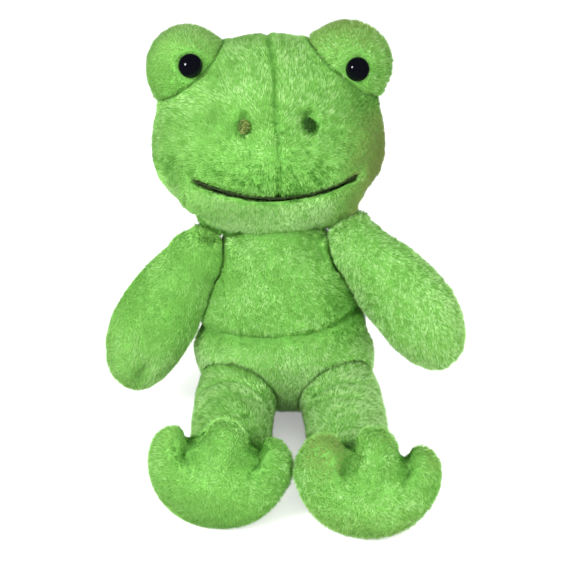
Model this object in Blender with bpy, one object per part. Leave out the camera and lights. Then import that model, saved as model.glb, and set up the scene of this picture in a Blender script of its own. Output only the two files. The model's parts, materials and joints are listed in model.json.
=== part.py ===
"""Seated plush frog: stuffed torso, head and limbs, with safety eyes and their locking washers.

Metres, +Z up. The origin is the middle of the seat's flat underside and the front faces -Y.
The head nods on a round neck, the arms lift on round shoulders and the legs swing on round hips.
"""
import math

import bmesh
import bpy
from mathutils import Matrix, Vector

for old in list(bpy.data.objects):
    bpy.data.objects.remove(old, do_unlink=True)

# Clearances and cutting allowances
CLEARANCE = 0.0003
OVERRUN = 0.030
FLAT_DEPTH = 0.0005
SHARP_ANGLE = math.radians(50)

# Torso: a pear that leans back and sways to its right, with a fold at the waist
TORSO_LEAN = math.radians(13)
TORSO_SWAY = 0.0095
TORSO_BASE_Y = -0.0287
TORSO_LENGTH = 0.154
TORSO_HALF_WIDTH = 0.0745
TORSO_HALF_DEPTH = 0.052
TORSO_SHARES = (
    # along, half width, half depth, set back
    (0.00, 0.96, 1.02, 0.24),
    (0.14, 0.99, 1.02, 0.16),
    (0.30, 1.01, 1.02, 0.04),
    (0.41, 0.96, 0.99, 0.00),
    (0.47, 0.89, 0.93, 0.00),
    (0.53, 0.90, 0.94, 0.00),
    (0.64, 0.82, 0.90, 0.00),
    (0.78, 0.76, 0.83, 0.00),
    (0.90, 0.83, 0.84, 0.00),
    (1.00, 0.90, 0.86, 0.00),
)
TORSO_END_POWER = 2.8
TORSO_SEGMENTS = 28
TORSO_RINGS = 16

# Neck: the round top of the torso that the head is seated on
NECK_DROP = 0.026
NECK_UP = TORSO_LENGTH - NECK_DROP
NECK_RADIUS = 0.038

# Head: a wide ellipsoid whose front swells into a snout and whose sides swell into jowls
HEAD_RISE = 0.091
HEAD_UP = NECK_UP + HEAD_RISE
HEAD_SET_BACK = 0.004
HEAD_SIDEWAYS = -0.0144
HEAD_TILT_BACK = math.radians(6)
HEAD_TURN = math.radians(6)
HEAD_ROLL = math.radians(1.3)
HEAD_HALF_WIDTH = 0.0895
HEAD_TOP_HEIGHT = 0.079
HEAD_BOTTOM_HEIGHT = 0.073
HEAD_FRONT_DEPTH = 0.066
HEAD_BACK_DEPTH = 0.064
SNOUT_SWELL_SHARE = 0.24
SNOUT_UP_SHARE = -0.22
SNOUT_SPREAD_SHARE = 0.50
JOWL_SWELL_SHARE = 0.05
JOWL_UP_SHARE = -0.45
JOWL_SPREAD_SHARE = 0.35
HEAD_SEGMENTS = 30
HEAD_RINGS = 16

# How clear of the shoulders the head stands, and how far it nods each way
HEAD_GAP = 0.0010
NOD_LIMIT = math.radians(10)

# Mouth: a smiling parting, a dark lining strip in it and a stuffed chin below
MOUTH_DROP = 0.0375
MOUTH_HALF_WIDTH = 0.061
SMILE_RISE = 0.0145
LINING_THICKNESS = 0.0016
LINING_INSET = 0.0028
CHIN_INSET = 0.0006
CHIN_BACK = 0.012
CHIN_SIDE = 0.004
SMILE_STEPS = 14

# Nostrils: oval embroidered patches let into the snout
NOSTRIL_SPACING = 0.048
NOSTRIL_UP = 0.0150
NOSTRIL_HALF_WIDTH = 0.0052
NOSTRIL_HALF_HEIGHT = 0.0064
NOSTRIL_THICKNESS = 0.0022
NOSTRIL_SINK = 0.0012
NOSTRIL_SEGMENTS = 20
NOSTRIL_RIM_SHARE = 0.84

# Eye mounds: stuffed pockets at the upper corners of the head, placed by their directions from its middle
MOUND_ASIDE_LEFT = math.radians(80)
MOUND_ASIDE_RIGHT = math.radians(74)
MOUND_RISE = math.radians(45.7)
MOUND_SINK = 0.0036
MOUND_HALF_WIDTH_LEFT = 0.0325
MOUND_HALF_WIDTH_RIGHT = 0.0360
MOUND_HALF_DEPTH = 0.033
MOUND_HALF_HEIGHT = 0.034
MOUND_SEGMENTS = 20
MOUND_RINGS = 10

# Safety eyes: a glossy dome on a ribbed shank, locked by a washer behind the fabric
EYE_RADIUS = 0.0093
EYE_DOME_HEIGHT = 0.0068
EYE_RIM_THICKNESS = 0.0012
EYE_ASIDE_LEFT = math.radians(2)
EYE_ASIDE_RIGHT = math.radians(6)
EYE_TURN_UP_LEFT = math.radians(4)
EYE_TURN_UP_RIGHT = math.radians(-5)
SHANK_RADIUS = 0.0024
SHANK_LENGTH = 0.0115
SHANK_RIB_HEIGHT = 0.0004
SHANK_RIB_PITCH = 0.0020
SHANK_RIBS = 2
EYE_SEGMENTS = 20
EYE_DOME_STEPS = 7
FABRIC_THICKNESS = 0.0020
WASHER_RADIUS = 0.0078
WASHER_THICKNESS = 0.0014
WASHER_COLLAR_RADIUS = 0.0042
WASHER_COLLAR_HEIGHT = 0.0012

# Arms: paddles that swell from a round shoulder to a full hand
SHOULDER_SPACING = 0.126
SHOULDER_DROP_LEFT = 0.0245
SHOULDER_DROP_RIGHT = 0.0170
SHOULDER_FORWARD = 0.008
SHOULDER_RADIUS = 0.0240
SHOULDER_ROOT_SHARE = 0.93
ARM_LENGTH = 0.116
ARM_HALF_WIDTH = 0.0380
ARM_HALF_DEPTH = 0.0315
ARM_OUT_LEFT = math.radians(36)
ARM_OUT_RIGHT = math.radians(46)
ARM_FORWARD = math.radians(8)
ARM_BEND_IN = 0.011
ARM_TIP_POWER = 2.6
ARM_SHARES = (
    # along, half width, half depth
    (0.00, 0.60, 0.72),
    (0.20, 0.77, 0.84),
    (0.42, 0.90, 0.94),
    (0.60, 1.00, 1.00),
    (0.78, 1.03, 1.00),
    (1.00, 0.98, 0.94),
)
ARM_SEGMENTS = 20
ARM_RINGS = 7

# Legs: short thick tubes from round hips to the backs of the feet
HIP_SPACING = 0.082
HIP_FORWARD = 0.022
HIP_UP = 0.0330
HIP_RADIUS = 0.0325
LEG_LENGTH = 0.104
LEG_SPREAD_LEFT = math.radians(1.5)
LEG_SPREAD_RIGHT = math.radians(4)
LEG_TIP_POWER = 5.0
LEG_SHARES = (
    # along, half width, half depth
    (0.00, 1.00, 1.00),
    (0.25, 0.99, 0.99),
    (0.55, 0.97, 0.97),
    (0.80, 0.96, 0.96),
    (1.00, 0.96, 0.96),
)
LEG_SEGMENTS = 20
LEG_RINGS = 5
LEG_DOWN_LIMIT = math.radians(75)
LEG_UP_LIMIT = math.radians(10)
LEG_SWEEP_STEPS = 3

# Feet: webbed pads with three toes, soles forward and toes up
FOOT_REACH_LEFT = 0.106
FOOT_REACH_RIGHT = 0.116
FOOT_OUT_LEFT = 0.0048
FOOT_OUT_RIGHT = 0.0055
FOOT_HALF_WIDTH = 0.0505
FOOT_HALF_LENGTH = 0.0445
FOOT_HALF_THICKNESS = 0.0250
FOOT_LEAN_BACK = math.radians(7)
FOOT_ROLL = math.radians(8)
FOOT_BED_GAP = 0.0010
TOE_CREASE_DEPTH = 0.0085
TOE_CREASE_SPREAD = math.radians(11)
TOE_CREASE_ANGLE = math.radians(28)
TOE_CREASE_START_SHARE = 0.30
FOOT_PILLOW_POWER = 0.72
FOOT_SEGMENTS = 36
FOOT_RINGS = 10
FOOT_OUTLINE_SHARES = (
    # degrees from the middle toe, reach
    (0, 1.00),
    (14, 0.97),
    (28, 0.84),
    (42, 1.06),
    (56, 1.13),
    (74, 1.07),
    (95, 1.00),
    (120, 0.96),
    (150, 0.96),
    (180, 0.95),
)

# Round roots of the limbs and the balls that their sockets are cut with
LIMB_ROOT_RINGS = 4
BALL_SEGMENTS = 24
BALL_RINGS = 14

# Colours, linear, and how rough each surface is
PLUSH_BODY = (0.27, 0.66, 0.13, 1.0)
PLUSH_HEAD = (0.33, 0.68, 0.18, 1.0)
EYE_BLACK = (0.004, 0.004, 0.006, 1.0)
WASHER_WHITE = (0.75, 0.75, 0.72, 1.0)
NOSTRIL_OLIVE = (0.16, 0.20, 0.03, 1.0)
LINING_DARK = (0.05, 0.06, 0.02, 1.0)
PLUSH_ROUGHNESS = 0.9
EYE_ROUGHNESS = 0.08
WASHER_ROUGHNESS = 0.5


def make_material(name, colour, roughness):
    material = bpy.data.materials.new(name)
    material.use_nodes = True
    shader = material.node_tree.nodes["Principled BSDF"]
    shader.inputs["Base Color"].default_value = colour
    shader.inputs["Roughness"].default_value = roughness
    shader.inputs["Metallic"].default_value = 0.0
    material.diffuse_color = colour
    return material


def add_object(name, bm, colour=PLUSH_BODY, roughness=PLUSH_ROUGHNESS):
    """A named object from a bmesh whose vertices are already in place."""
    bmesh.ops.recalc_face_normals(bm, faces=bm.faces)
    mesh = bpy.data.meshes.new(name)
    bm.to_mesh(mesh)
    bm.free()
    mesh.shade_smooth()
    mesh.set_sharp_from_angle(angle=SHARP_ANGLE)
    item = bpy.data.objects.new(name, mesh)
    bpy.context.collection.objects.link(item)
    item.data.materials.append(make_material(name, colour, roughness))
    return item


def as_cutter(item):
    item.hide_render = True
    item.display_type = "WIRE"
    return item


def boolean(item, other, operation="DIFFERENCE"):
    step = item.modifiers.new(other.name, "BOOLEAN")
    step.operation = operation
    step.solver = "EXACT"
    step.object = other


def set_origin(item, point):
    """Move an object's origin to a joint without moving its shape."""
    item.data.transform(Matrix.Translation(-point))
    item.location = point


def smooth_value(table, position, column):
    """Read one column of a table of shares by a smooth curve through its rows."""
    rows = len(table)
    upper = 1
    while upper < rows - 1 and table[upper][0] < position:
        upper += 1
    lower = upper - 1

    def slope(index):
        before = max(index - 1, 0)
        after = min(index + 1, rows - 1)
        return (table[after][column] - table[before][column]) / (table[after][0] - table[before][0])

    span = table[upper][0] - table[lower][0]
    share = min(max((position - table[lower][0]) / span, 0.0), 1.0)
    square = share * share
    cube = square * share
    return (
        (2 * cube - 3 * square + 1) * table[lower][column]
        + (cube - 2 * square + share) * span * slope(lower)
        + (3 * square - 2 * cube) * table[upper][column]
        + (cube - square) * span * slope(upper)
    )


def skin_rings(rings, first_pole, last_pole):
    """A closed bmesh from equal rings of points between two poles."""
    bm = bmesh.new()
    loops = [[bm.verts.new(point) for point in ring] for ring in rings]
    start = bm.verts.new(first_pole)
    end = bm.verts.new(last_pole)
    count = len(loops[0])
    for index in range(count):
        following = (index + 1) % count
        bm.faces.new((start, loops[0][following], loops[0][index]))
        bm.faces.new((end, loops[-1][index], loops[-1][following]))
        for near, far in zip(loops, loops[1:]):
            bm.faces.new((near[index], near[following], far[following], far[index]))
    bmesh.ops.recalc_face_normals(bm, faces=bm.faces)
    return bm


def grow(bm, amount):
    """Push every vertex of a closed form out along its normal."""
    bm.normal_update()
    moves = [(vertex, vertex.normal.copy()) for vertex in bm.verts]
    for vertex, normal in moves:
        vertex.co += normal * amount
    return bm


def ellipse_ring(centre, side, front, half_width, half_depth, count):
    points = []
    for index in range(count):
        angle = math.tau * index / count
        points.append(centre + side * half_width * math.cos(angle) + front * half_depth * math.sin(angle))
    return points


def level_ring(centre, half_width, half_depth, count):
    """An ellipse across Z."""
    return ellipse_ring(centre, Vector((1, 0, 0)), Vector((0, 1, 0)), half_width, half_depth, count)


def ball_points(centre, radius):
    """The points of a ball whose poles lie along X, as on a hinge about X."""
    points = [centre + Vector((-radius, 0, 0)), centre + Vector((radius, 0, 0))]
    for index in range(1, BALL_RINGS):
        level = math.pi * index / BALL_RINGS
        middle = centre + Vector((-radius * math.cos(level), 0, 0))
        reach = radius * math.sin(level)
        points += ellipse_ring(middle, Vector((0, 1, 0)), Vector((0, 0, 1)), reach, reach, BALL_SEGMENTS)
    return points


def ball(centre, radius, name):
    """A cutter or core of revolution about a joint's centre."""
    points = ball_points(centre, radius)
    rings = [points[first:first + BALL_SEGMENTS] for first in range(2, len(points), BALL_SEGMENTS)]
    return add_object(name, skin_rings(rings, points[0], points[1]))


def socket_radius(radius):
    """A faceted socket's radius whose flats keep the clearance from a ball of the given radius."""
    return (radius + CLEARANCE) / (math.cos(math.pi / BALL_SEGMENTS) * math.cos(math.pi / (2 * BALL_RINGS)))


def frame_from(point, along, back):
    """A frame at a point whose Z runs along a limb and whose Y leans towards a given way."""
    z_axis = along.normalized()
    x_axis = back.cross(z_axis).normalized()
    y_axis = z_axis.cross(x_axis)
    turn = Matrix((x_axis, y_axis, z_axis)).transposed().to_4x4()
    return Matrix.Translation(point) @ turn


# Frames of the torso and the head
TORSO_TURN = Matrix.Rotation(-TORSO_LEAN, 4, "X")


def sway_at(up):
    """How far to its right the torso has swayed at a height."""
    return -TORSO_SWAY * up / TORSO_LENGTH


def torso_form():
    rings = []
    for index in range(1, TORSO_RINGS + 1):
        along = (1 - math.cos(math.pi * index / (TORSO_RINGS + 1))) / 2
        ends = (1 - abs(2 * along - 1) ** TORSO_END_POWER) ** (1 / TORSO_END_POWER)
        half_width = TORSO_HALF_WIDTH * smooth_value(TORSO_SHARES, along, 1) * ends
        half_depth = TORSO_HALF_DEPTH * smooth_value(TORSO_SHARES, along, 2) * ends
        set_back = TORSO_HALF_DEPTH * smooth_value(TORSO_SHARES, along, 3)
        centre = Vector((sway_at(TORSO_LENGTH * along), set_back, TORSO_LENGTH * along))
        ring = level_ring(centre, half_width, half_depth, TORSO_SEGMENTS)
        rings.append([TORSO_TURN @ point for point in ring])
    first = TORSO_TURN @ Vector((0, TORSO_HALF_DEPTH * TORSO_SHARES[0][3], 0))
    last = TORSO_TURN @ Vector((-TORSO_SWAY, TORSO_HALF_DEPTH * TORSO_SHARES[-1][3], TORSO_LENGTH))
    return skin_rings(rings, first, last)


def seat_level():
    """How far the leaned torso must drop so that its seat is cut flat by the flat's depth."""
    bm = torso_form()
    lowest = min(vertex.co.z for vertex in bm.verts)
    bm.free()
    return -lowest - FLAT_DEPTH


TORSO_FRAME = Matrix.Translation((0, TORSO_BASE_Y, seat_level())) @ TORSO_TURN
HEAD_FRAME = (
    TORSO_FRAME
    @ Matrix.Translation((HEAD_SIDEWAYS, HEAD_SET_BACK, HEAD_UP))
    @ Matrix.Rotation(-HEAD_TILT_BACK, 4, "X")
    @ Matrix.Rotation(-HEAD_ROLL, 4, "Y")
    @ Matrix.Rotation(HEAD_TURN, 4, "Z")
)
NECK_POINT = TORSO_FRAME @ Vector((sway_at(NECK_UP), 0, NECK_UP))


def shoulder_point(side):
    up = TORSO_LENGTH - (SHOULDER_DROP_LEFT if side < 0 else SHOULDER_DROP_RIGHT)
    across = sway_at(up) + side * SHOULDER_SPACING / 2
    return TORSO_FRAME @ Vector((across, -SHOULDER_FORWARD, up))


def hip_point(side):
    return Vector((side * HIP_SPACING / 2, TORSO_BASE_Y - HIP_FORWARD, HIP_UP))


def head_swell(up_share):
    """How much the front of the head swells at a height."""
    return 1 + SNOUT_SWELL_SHARE * math.exp(-(((up_share - SNOUT_UP_SHARE) / SNOUT_SPREAD_SHARE) ** 2))


def head_half_width(up_share):
    """Half the head's width at a height, if it were an upright cylinder there."""
    swell = JOWL_SWELL_SHARE * math.exp(-(((up_share - JOWL_UP_SHARE) / JOWL_SPREAD_SHARE) ** 2))
    return HEAD_HALF_WIDTH * (1 + swell)


def head_surface(x_share, y_share, z_share, inset):
    """A point of the head from a unit direction, brought in by an inset."""
    if y_share < 0:
        depth = HEAD_FRONT_DEPTH * head_swell(z_share) - inset
    else:
        depth = HEAD_BACK_DEPTH - inset
    height = HEAD_TOP_HEIGHT if z_share > 0 else HEAD_BOTTOM_HEIGHT
    return Vector((
        (head_half_width(z_share) - inset) * x_share,
        depth * y_share,
        (height - inset) * z_share,
    ))


def head_form(inset):
    rings = []
    for index in range(1, HEAD_RINGS):
        level = math.pi * index / HEAD_RINGS
        ring = []
        for step in range(HEAD_SEGMENTS):
            angle = math.tau * step / HEAD_SEGMENTS
            x_share = math.sin(level) * math.cos(angle)
            y_share = math.sin(level) * math.sin(angle)
            ring.append(HEAD_FRAME @ head_surface(x_share, y_share, -math.cos(level), inset))
        rings.append(ring)
    bottom = HEAD_FRAME @ head_surface(0, 0, -1, inset)
    top = HEAD_FRAME @ head_surface(0, 0, 1, inset)
    return skin_rings(rings, bottom, top)


def head_front(x, up):
    """The depth of the head's front at a place, in the head's frame."""
    z_share = up / HEAD_TOP_HEIGHT if up > 0 else up / HEAD_BOTTOM_HEIGHT
    x_share = x / head_half_width(z_share)
    return head_surface(x_share, -math.sqrt(1 - x_share**2 - z_share**2), z_share, 0).y


def smile_level(x):
    return -MOUTH_DROP + SMILE_RISE * (x / MOUTH_HALF_WIDTH) ** 2


def smile_block(name, top_offset, bottom_offset, allowance):
    """A block at the front of the head whose top, and whose bottom if it has one, smile."""
    bm = bmesh.new()
    half = MOUTH_HALF_WIDTH + CHIN_SIDE + allowance
    back = -CHIN_BACK + allowance
    front = -HEAD_FRONT_DEPTH * (1 + SNOUT_SWELL_SHARE) - OVERRUN
    columns = []
    for step in range(SMILE_STEPS + 1):
        x = -half + 2 * half * step / SMILE_STEPS
        top = smile_level(x) + top_offset
        low = -HEAD_BOTTOM_HEIGHT - OVERRUN if bottom_offset is None else smile_level(x) + bottom_offset
        corners = ((x, front, low), (x, back, low), (x, back, top), (x, front, top))
        columns.append([bm.verts.new(HEAD_FRAME @ Vector(corner)) for corner in corners])
    for near, far in zip(columns, columns[1:]):
        for index in range(len(near)):
            following = (index + 1) % len(near)
            bm.faces.new((near[index], near[following], far[following], far[index]))
    bm.faces.new(columns[0])
    bm.faces.new(list(reversed(columns[-1])))
    return add_object(name, bm)


def turned_form(name, profile, frame, colour, segments, roughness=PLUSH_ROUGHNESS):
    """A closed turned piece: the profile's (radius, height) points start and end on its axis."""
    rings = []
    for radius, height in profile[1:-1]:
        ring = []
        for step in range(segments):
            angle = math.tau * step / segments
            ring.append(frame @ Vector((radius * math.cos(angle), radius * math.sin(angle), height)))
        rings.append(ring)
    first = frame @ Vector((0, 0, profile[0][1]))
    last = frame @ Vector((0, 0, profile[-1][1]))
    return add_object(name, skin_rings(rings, first, last), colour, roughness)


def turned_ring(name, profile, frame, colour, segments, roughness=PLUSH_ROUGHNESS):
    """A turned piece with a hole: the profile's points go once round its section."""
    bm = bmesh.new()
    loops = []
    for step in range(segments):
        angle = math.tau * step / segments
        loops.append([
            bm.verts.new(frame @ Vector((radius * math.cos(angle), radius * math.sin(angle), height)))
            for radius, height in profile
        ])
    for step in range(segments):
        near = loops[step]
        far = loops[(step + 1) % segments]
        for index in range(len(near)):
            following = (index + 1) % len(near)
            bm.faces.new((near[index], near[following], far[following], far[index]))
    return add_object(name, bm, colour, roughness)


def placed_torso_form(allowance):
    bm = torso_form()
    bm.transform(Matrix.Translation(TORSO_FRAME.translation))
    return grow(bm, allowance)


def make_torso():
    torso = add_object("torso", placed_torso_form(0))
    boolean(torso, as_cutter(make_head_room()))
    boolean(torso, as_cutter(ball(NECK_POINT, NECK_RADIUS, "neck_core")), "UNION")
    for side, label in ((-1, "left"), (1, "right")):
        shoulder = ball(shoulder_point(side), socket_radius(SHOULDER_RADIUS), "shoulder_socket_" + label)
        boolean(torso, as_cutter(shoulder))
        boolean(torso, as_cutter(make_leg_room(side, "leg_room_" + label)))
    boolean(torso, as_cutter(make_floor("floor_below_torso")))
    return torso


def hull_object(name, points):
    """The closed hull of a cloud of points."""
    bm = bmesh.new()
    for point in points:
        bm.verts.new(point)
    hull = bmesh.ops.convex_hull(bm, input=bm.verts)
    left_over = hull["geom_interior"] + hull["geom_unused"]
    inside = {item for item in left_over if isinstance(item, bmesh.types.BMVert)}
    bmesh.ops.delete(bm, geom=list(inside), context="VERTS")
    return add_object(name, bm)


def make_head_room():
    """The room that the head needs to nod over the shoulders."""
    bm = head_form(-HEAD_GAP)
    points = []
    for step in range(-1, 2):
        nod = Matrix.Rotation(step * NOD_LIMIT, 4, "X")
        points += [NECK_POINT + nod @ (vertex.co - NECK_POINT) for vertex in bm.verts]
    bm.free()
    return hull_object("head_room", points)


def make_leg_room(side, name):
    """The room that a leg needs to swing: a ball about the hip, drawn out along the leg's ways."""
    reach = socket_radius(HIP_RADIUS)
    ways = [Vector((0, 0, 0))]
    for step in range(LEG_SWEEP_STEPS + 1):
        angle = (LEG_UP_LIMIT + LEG_DOWN_LIMIT) * step / LEG_SWEEP_STEPS - LEG_UP_LIMIT
        ways.append(Matrix.Rotation(angle, 3, "X") @ leg_way(side) * (LEG_LENGTH + OVERRUN))
    points = []
    for way in ways:
        points += ball_points(hip_point(side) + way, reach)
    return hull_object(name, points)


def make_floor(name):
    """A block whose top is the surface that the frog sits on."""
    bm = bmesh.new()
    size = 2 * (LEG_LENGTH + FOOT_REACH_RIGHT)
    bmesh.ops.create_cube(bm, size=size, matrix=Matrix.Translation((0, 0, -size / 2)))
    return add_object(name, bm)


def make_head():
    head = add_object("head", head_form(0), PLUSH_HEAD)
    parting = LINING_THICKNESS / 2 + CLEARANCE
    boolean(head, as_cutter(smile_block("mouth_parting", parting, None, CLEARANCE)))
    neck_socket = as_cutter(ball(NECK_POINT, socket_radius(NECK_RADIUS), "neck_socket"))
    boolean(head, neck_socket)

    chin = add_object("chin", head_form(CHIN_INSET), PLUSH_HEAD)
    boolean(chin, as_cutter(smile_block("chin_block", -parting, None, 0)), "INTERSECT")
    boolean(chin, neck_socket)

    lining = add_object("mouth_lining", head_form(LINING_INSET), LINING_DARK)
    half = LINING_THICKNESS / 2
    boolean(lining, as_cutter(smile_block("lining_block", half, -half, 0)), "INTERSECT")
    pieces = [head, chin, lining]

    for side, label in ((-1, "left"), (1, "right")):
        frame = nostril_frame(side)
        recess = nostril_form("nostril_recess_" + label, frame, CLEARANCE, NOSTRIL_SINK + OVERRUN)
        boolean(head, as_cutter(recess))
        pieces.append(nostril_form("nostril_" + label, frame, 0, 0))
    return pieces


def nostril_frame(side):
    """On the snout's surface, with Z pointing out of it."""
    x = side * NOSTRIL_SPACING / 2
    step = NOSTRIL_HALF_WIDTH
    point = Vector((x, head_front(x, NOSTRIL_UP), NOSTRIL_UP))
    across = Vector((step, head_front(x + step, NOSTRIL_UP) - point.y, 0))
    upward = Vector((0, head_front(x, NOSTRIL_UP + step) - point.y, step))
    normal = across.cross(upward).normalized()
    return HEAD_FRAME @ frame_from(point, normal, Vector((0, 0, 1)))


def nostril_form(name, frame, allowance, overrun):
    """An oval disc with an eased rim, or the plain recess for it."""
    bm = bmesh.new()
    low = -NOSTRIL_SINK - NOSTRIL_THICKNESS - allowance
    high = -NOSTRIL_SINK + overrun
    ease = NOSTRIL_RIM_SHARE if overrun == 0 else 1
    shoulder = high - NOSTRIL_THICKNESS * (1 - NOSTRIL_RIM_SHARE) if overrun == 0 else high - OVERRUN / 2
    levels = ((low, 1), (shoulder, 1), (high, ease))
    rings = []
    for height, share in levels:
        half_width = NOSTRIL_HALF_WIDTH * share + allowance
        half_height = NOSTRIL_HALF_HEIGHT * share + allowance
        ring = level_ring(Vector((0, 0, height)), half_width, half_height, NOSTRIL_SEGMENTS)
        rings.append([bm.verts.new(frame @ point) for point in ring])
    for near, far in zip(rings, rings[1:]):
        for index in range(NOSTRIL_SEGMENTS):
            following = (index + 1) % NOSTRIL_SEGMENTS
            bm.faces.new((near[index], near[following], far[following], far[index]))
    bm.faces.new(rings[0])
    bm.faces.new(list(reversed(rings[-1])))
    return add_object(name, bm, NOSTRIL_OLIVE)


def mound_centre(side):
    """A mound's middle, sunk a little below the head's surface."""
    aside = MOUND_ASIDE_LEFT if side < 0 else MOUND_ASIDE_RIGHT
    x_share = side * math.cos(MOUND_RISE) * math.sin(aside)
    y_share = -math.cos(MOUND_RISE) * math.cos(aside)
    return head_surface(x_share, y_share, math.sin(MOUND_RISE), MOUND_SINK)


def mound_sizes(side):
    half_width = MOUND_HALF_WIDTH_LEFT if side < 0 else MOUND_HALF_WIDTH_RIGHT
    return Vector((half_width, MOUND_HALF_DEPTH, MOUND_HALF_HEIGHT))


def eye_frame(side):
    """On the front of a mound, with Z pointing out along the eye's shank."""
    aside = EYE_ASIDE_LEFT if side < 0 else EYE_ASIDE_RIGHT
    turn_up = EYE_TURN_UP_LEFT if side < 0 else EYE_TURN_UP_RIGHT
    look = Vector((math.sin(aside), -math.cos(aside) * math.cos(turn_up), math.sin(turn_up)))
    look.normalize()
    sizes = mound_sizes(side)
    reach = 1 / math.sqrt(sum((look[i] / sizes[i]) ** 2 for i in range(3)))
    return HEAD_FRAME @ frame_from(mound_centre(side) + look * reach, look, Vector((0, 0, 1)))


def seat_depth():
    """How deep the eye's flat back sits below the top of the mound's curve."""
    return MOUND_HALF_DEPTH - math.sqrt(MOUND_HALF_DEPTH**2 - (EYE_RADIUS + CLEARANCE) ** 2) + CLEARANCE


def eye_profile():
    """The dome from its top down to its flat back, then the ribbed shank."""
    back = -seat_depth() + CLEARANCE
    rim = back + EYE_RIM_THICKNESS
    profile = [(0, rim + EYE_DOME_HEIGHT)]
    for step in range(1, EYE_DOME_STEPS + 1):
        angle = math.pi / 2 * step / EYE_DOME_STEPS
        profile.append((EYE_RADIUS * math.sin(angle), rim + EYE_DOME_HEIGHT * math.cos(angle)))
    profile.append((EYE_RADIUS, back))
    profile.append((SHANK_RADIUS, back))
    washer_height = WASHER_THICKNESS + WASHER_COLLAR_HEIGHT
    first_rib = back - FABRIC_THICKNESS - 2 * CLEARANCE - washer_height - SHANK_RIB_PITCH
    for rib in range(SHANK_RIBS):
        height = first_rib - rib * SHANK_RIB_PITCH
        profile.append((SHANK_RADIUS, height + SHANK_RIB_PITCH / 2))
        profile.append((SHANK_RADIUS + SHANK_RIB_HEIGHT, height))
    profile.append((SHANK_RADIUS, back - SHANK_LENGTH + SHANK_RIB_HEIGHT))
    profile.append((SHANK_RADIUS - SHANK_RIB_HEIGHT, back - SHANK_LENGTH))
    profile.append((0, back - SHANK_LENGTH))
    return profile


def eye_cutter_profile():
    """The seat for the dome, the hole in the fabric, the washer's pocket and the shank's way."""
    seat = -seat_depth()
    pocket_top = seat - FABRIC_THICKNESS
    pocket_low = pocket_top - WASHER_THICKNESS - WASHER_COLLAR_HEIGHT - 2 * CLEARANCE
    hole = SHANK_RADIUS + SHANK_RIB_HEIGHT + CLEARANCE
    deep = seat - SHANK_LENGTH - 2 * CLEARANCE
    return [
        (0, OVERRUN),
        (EYE_RADIUS + CLEARANCE, OVERRUN),
        (EYE_RADIUS + CLEARANCE, seat),
        (hole, seat),
        (hole, pocket_top),
        (WASHER_RADIUS + CLEARANCE, pocket_top),
        (WASHER_RADIUS + CLEARANCE, pocket_low),
        (hole, pocket_low),
        (hole, deep),
        (0, deep),
    ]


def washer_profile():
    """A pressed disc with a raised collar that grips the shank."""
    top = -seat_depth() - FABRIC_THICKNESS - CLEARANCE
    low = top - WASHER_THICKNESS
    bore = SHANK_RADIUS + CLEARANCE
    return [
        (bore, top),
        (WASHER_RADIUS, top),
        (WASHER_RADIUS, low),
        (WASHER_COLLAR_RADIUS, low),
        (WASHER_COLLAR_RADIUS, low - WASHER_COLLAR_HEIGHT),
        (bore, low - WASHER_COLLAR_HEIGHT),
    ]


def make_eye_mound(side, label):
    sizes = Matrix.Diagonal(mound_sizes(side).to_4d())
    bm = bmesh.new()
    bmesh.ops.create_uvsphere(
        bm,
        u_segments=MOUND_SEGMENTS,
        v_segments=MOUND_RINGS,
        radius=1,
        matrix=HEAD_FRAME @ Matrix.Translation(mound_centre(side)) @ sizes,
    )
    mound = add_object("eye_mound_" + label, bm, PLUSH_HEAD)
    boolean(mound, as_cutter(add_object("head_bed_" + label, head_form(-CLEARANCE))))
    frame = eye_frame(side)
    cutter = turned_form("eye_hole_" + label, eye_cutter_profile(), frame, EYE_BLACK, EYE_SEGMENTS)
    boolean(mound, as_cutter(cutter))
    eye = turned_form("eye_" + label, eye_profile(), frame, EYE_BLACK, EYE_SEGMENTS, EYE_ROUGHNESS)
    washer = turned_ring(
        "eye_washer_" + label, washer_profile(), frame, WASHER_WHITE, EYE_SEGMENTS, WASHER_ROUGHNESS
    )
    return [mound, eye, washer]


def make_limb(name, frame, root_radius, length, sizes, table, bend, power, rings, segments):
    """A stuffed limb: a half ball about its joint, then a form that swells to a rounded end."""
    half_width, half_depth = sizes
    loops = []
    for index in range(1, LIMB_ROOT_RINGS):
        angle = math.pi / 2 * index / LIMB_ROOT_RINGS
        reach = root_radius * math.sin(angle)
        centre = Vector((0, 0, -root_radius * math.cos(angle)))
        loops.append(level_ring(centre, reach, reach, segments))
    for index in range(rings):
        along = math.sin(math.pi / 2 * index / rings)
        tip = (1 - along**power) ** (1 / power)
        centre = Vector((bend * along * along, 0, length * along))
        width = half_width * smooth_value(table, along, 1) * tip
        depth = half_depth * smooth_value(table, along, 2) * tip
        loops.append(level_ring(centre, width, depth, segments))
    placed = [[frame @ point for point in loop] for loop in loops]
    first = frame @ Vector((0, 0, -root_radius))
    last = frame @ Vector((bend, 0, length))
    return add_object(name, skin_rings(placed, first, last))


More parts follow.
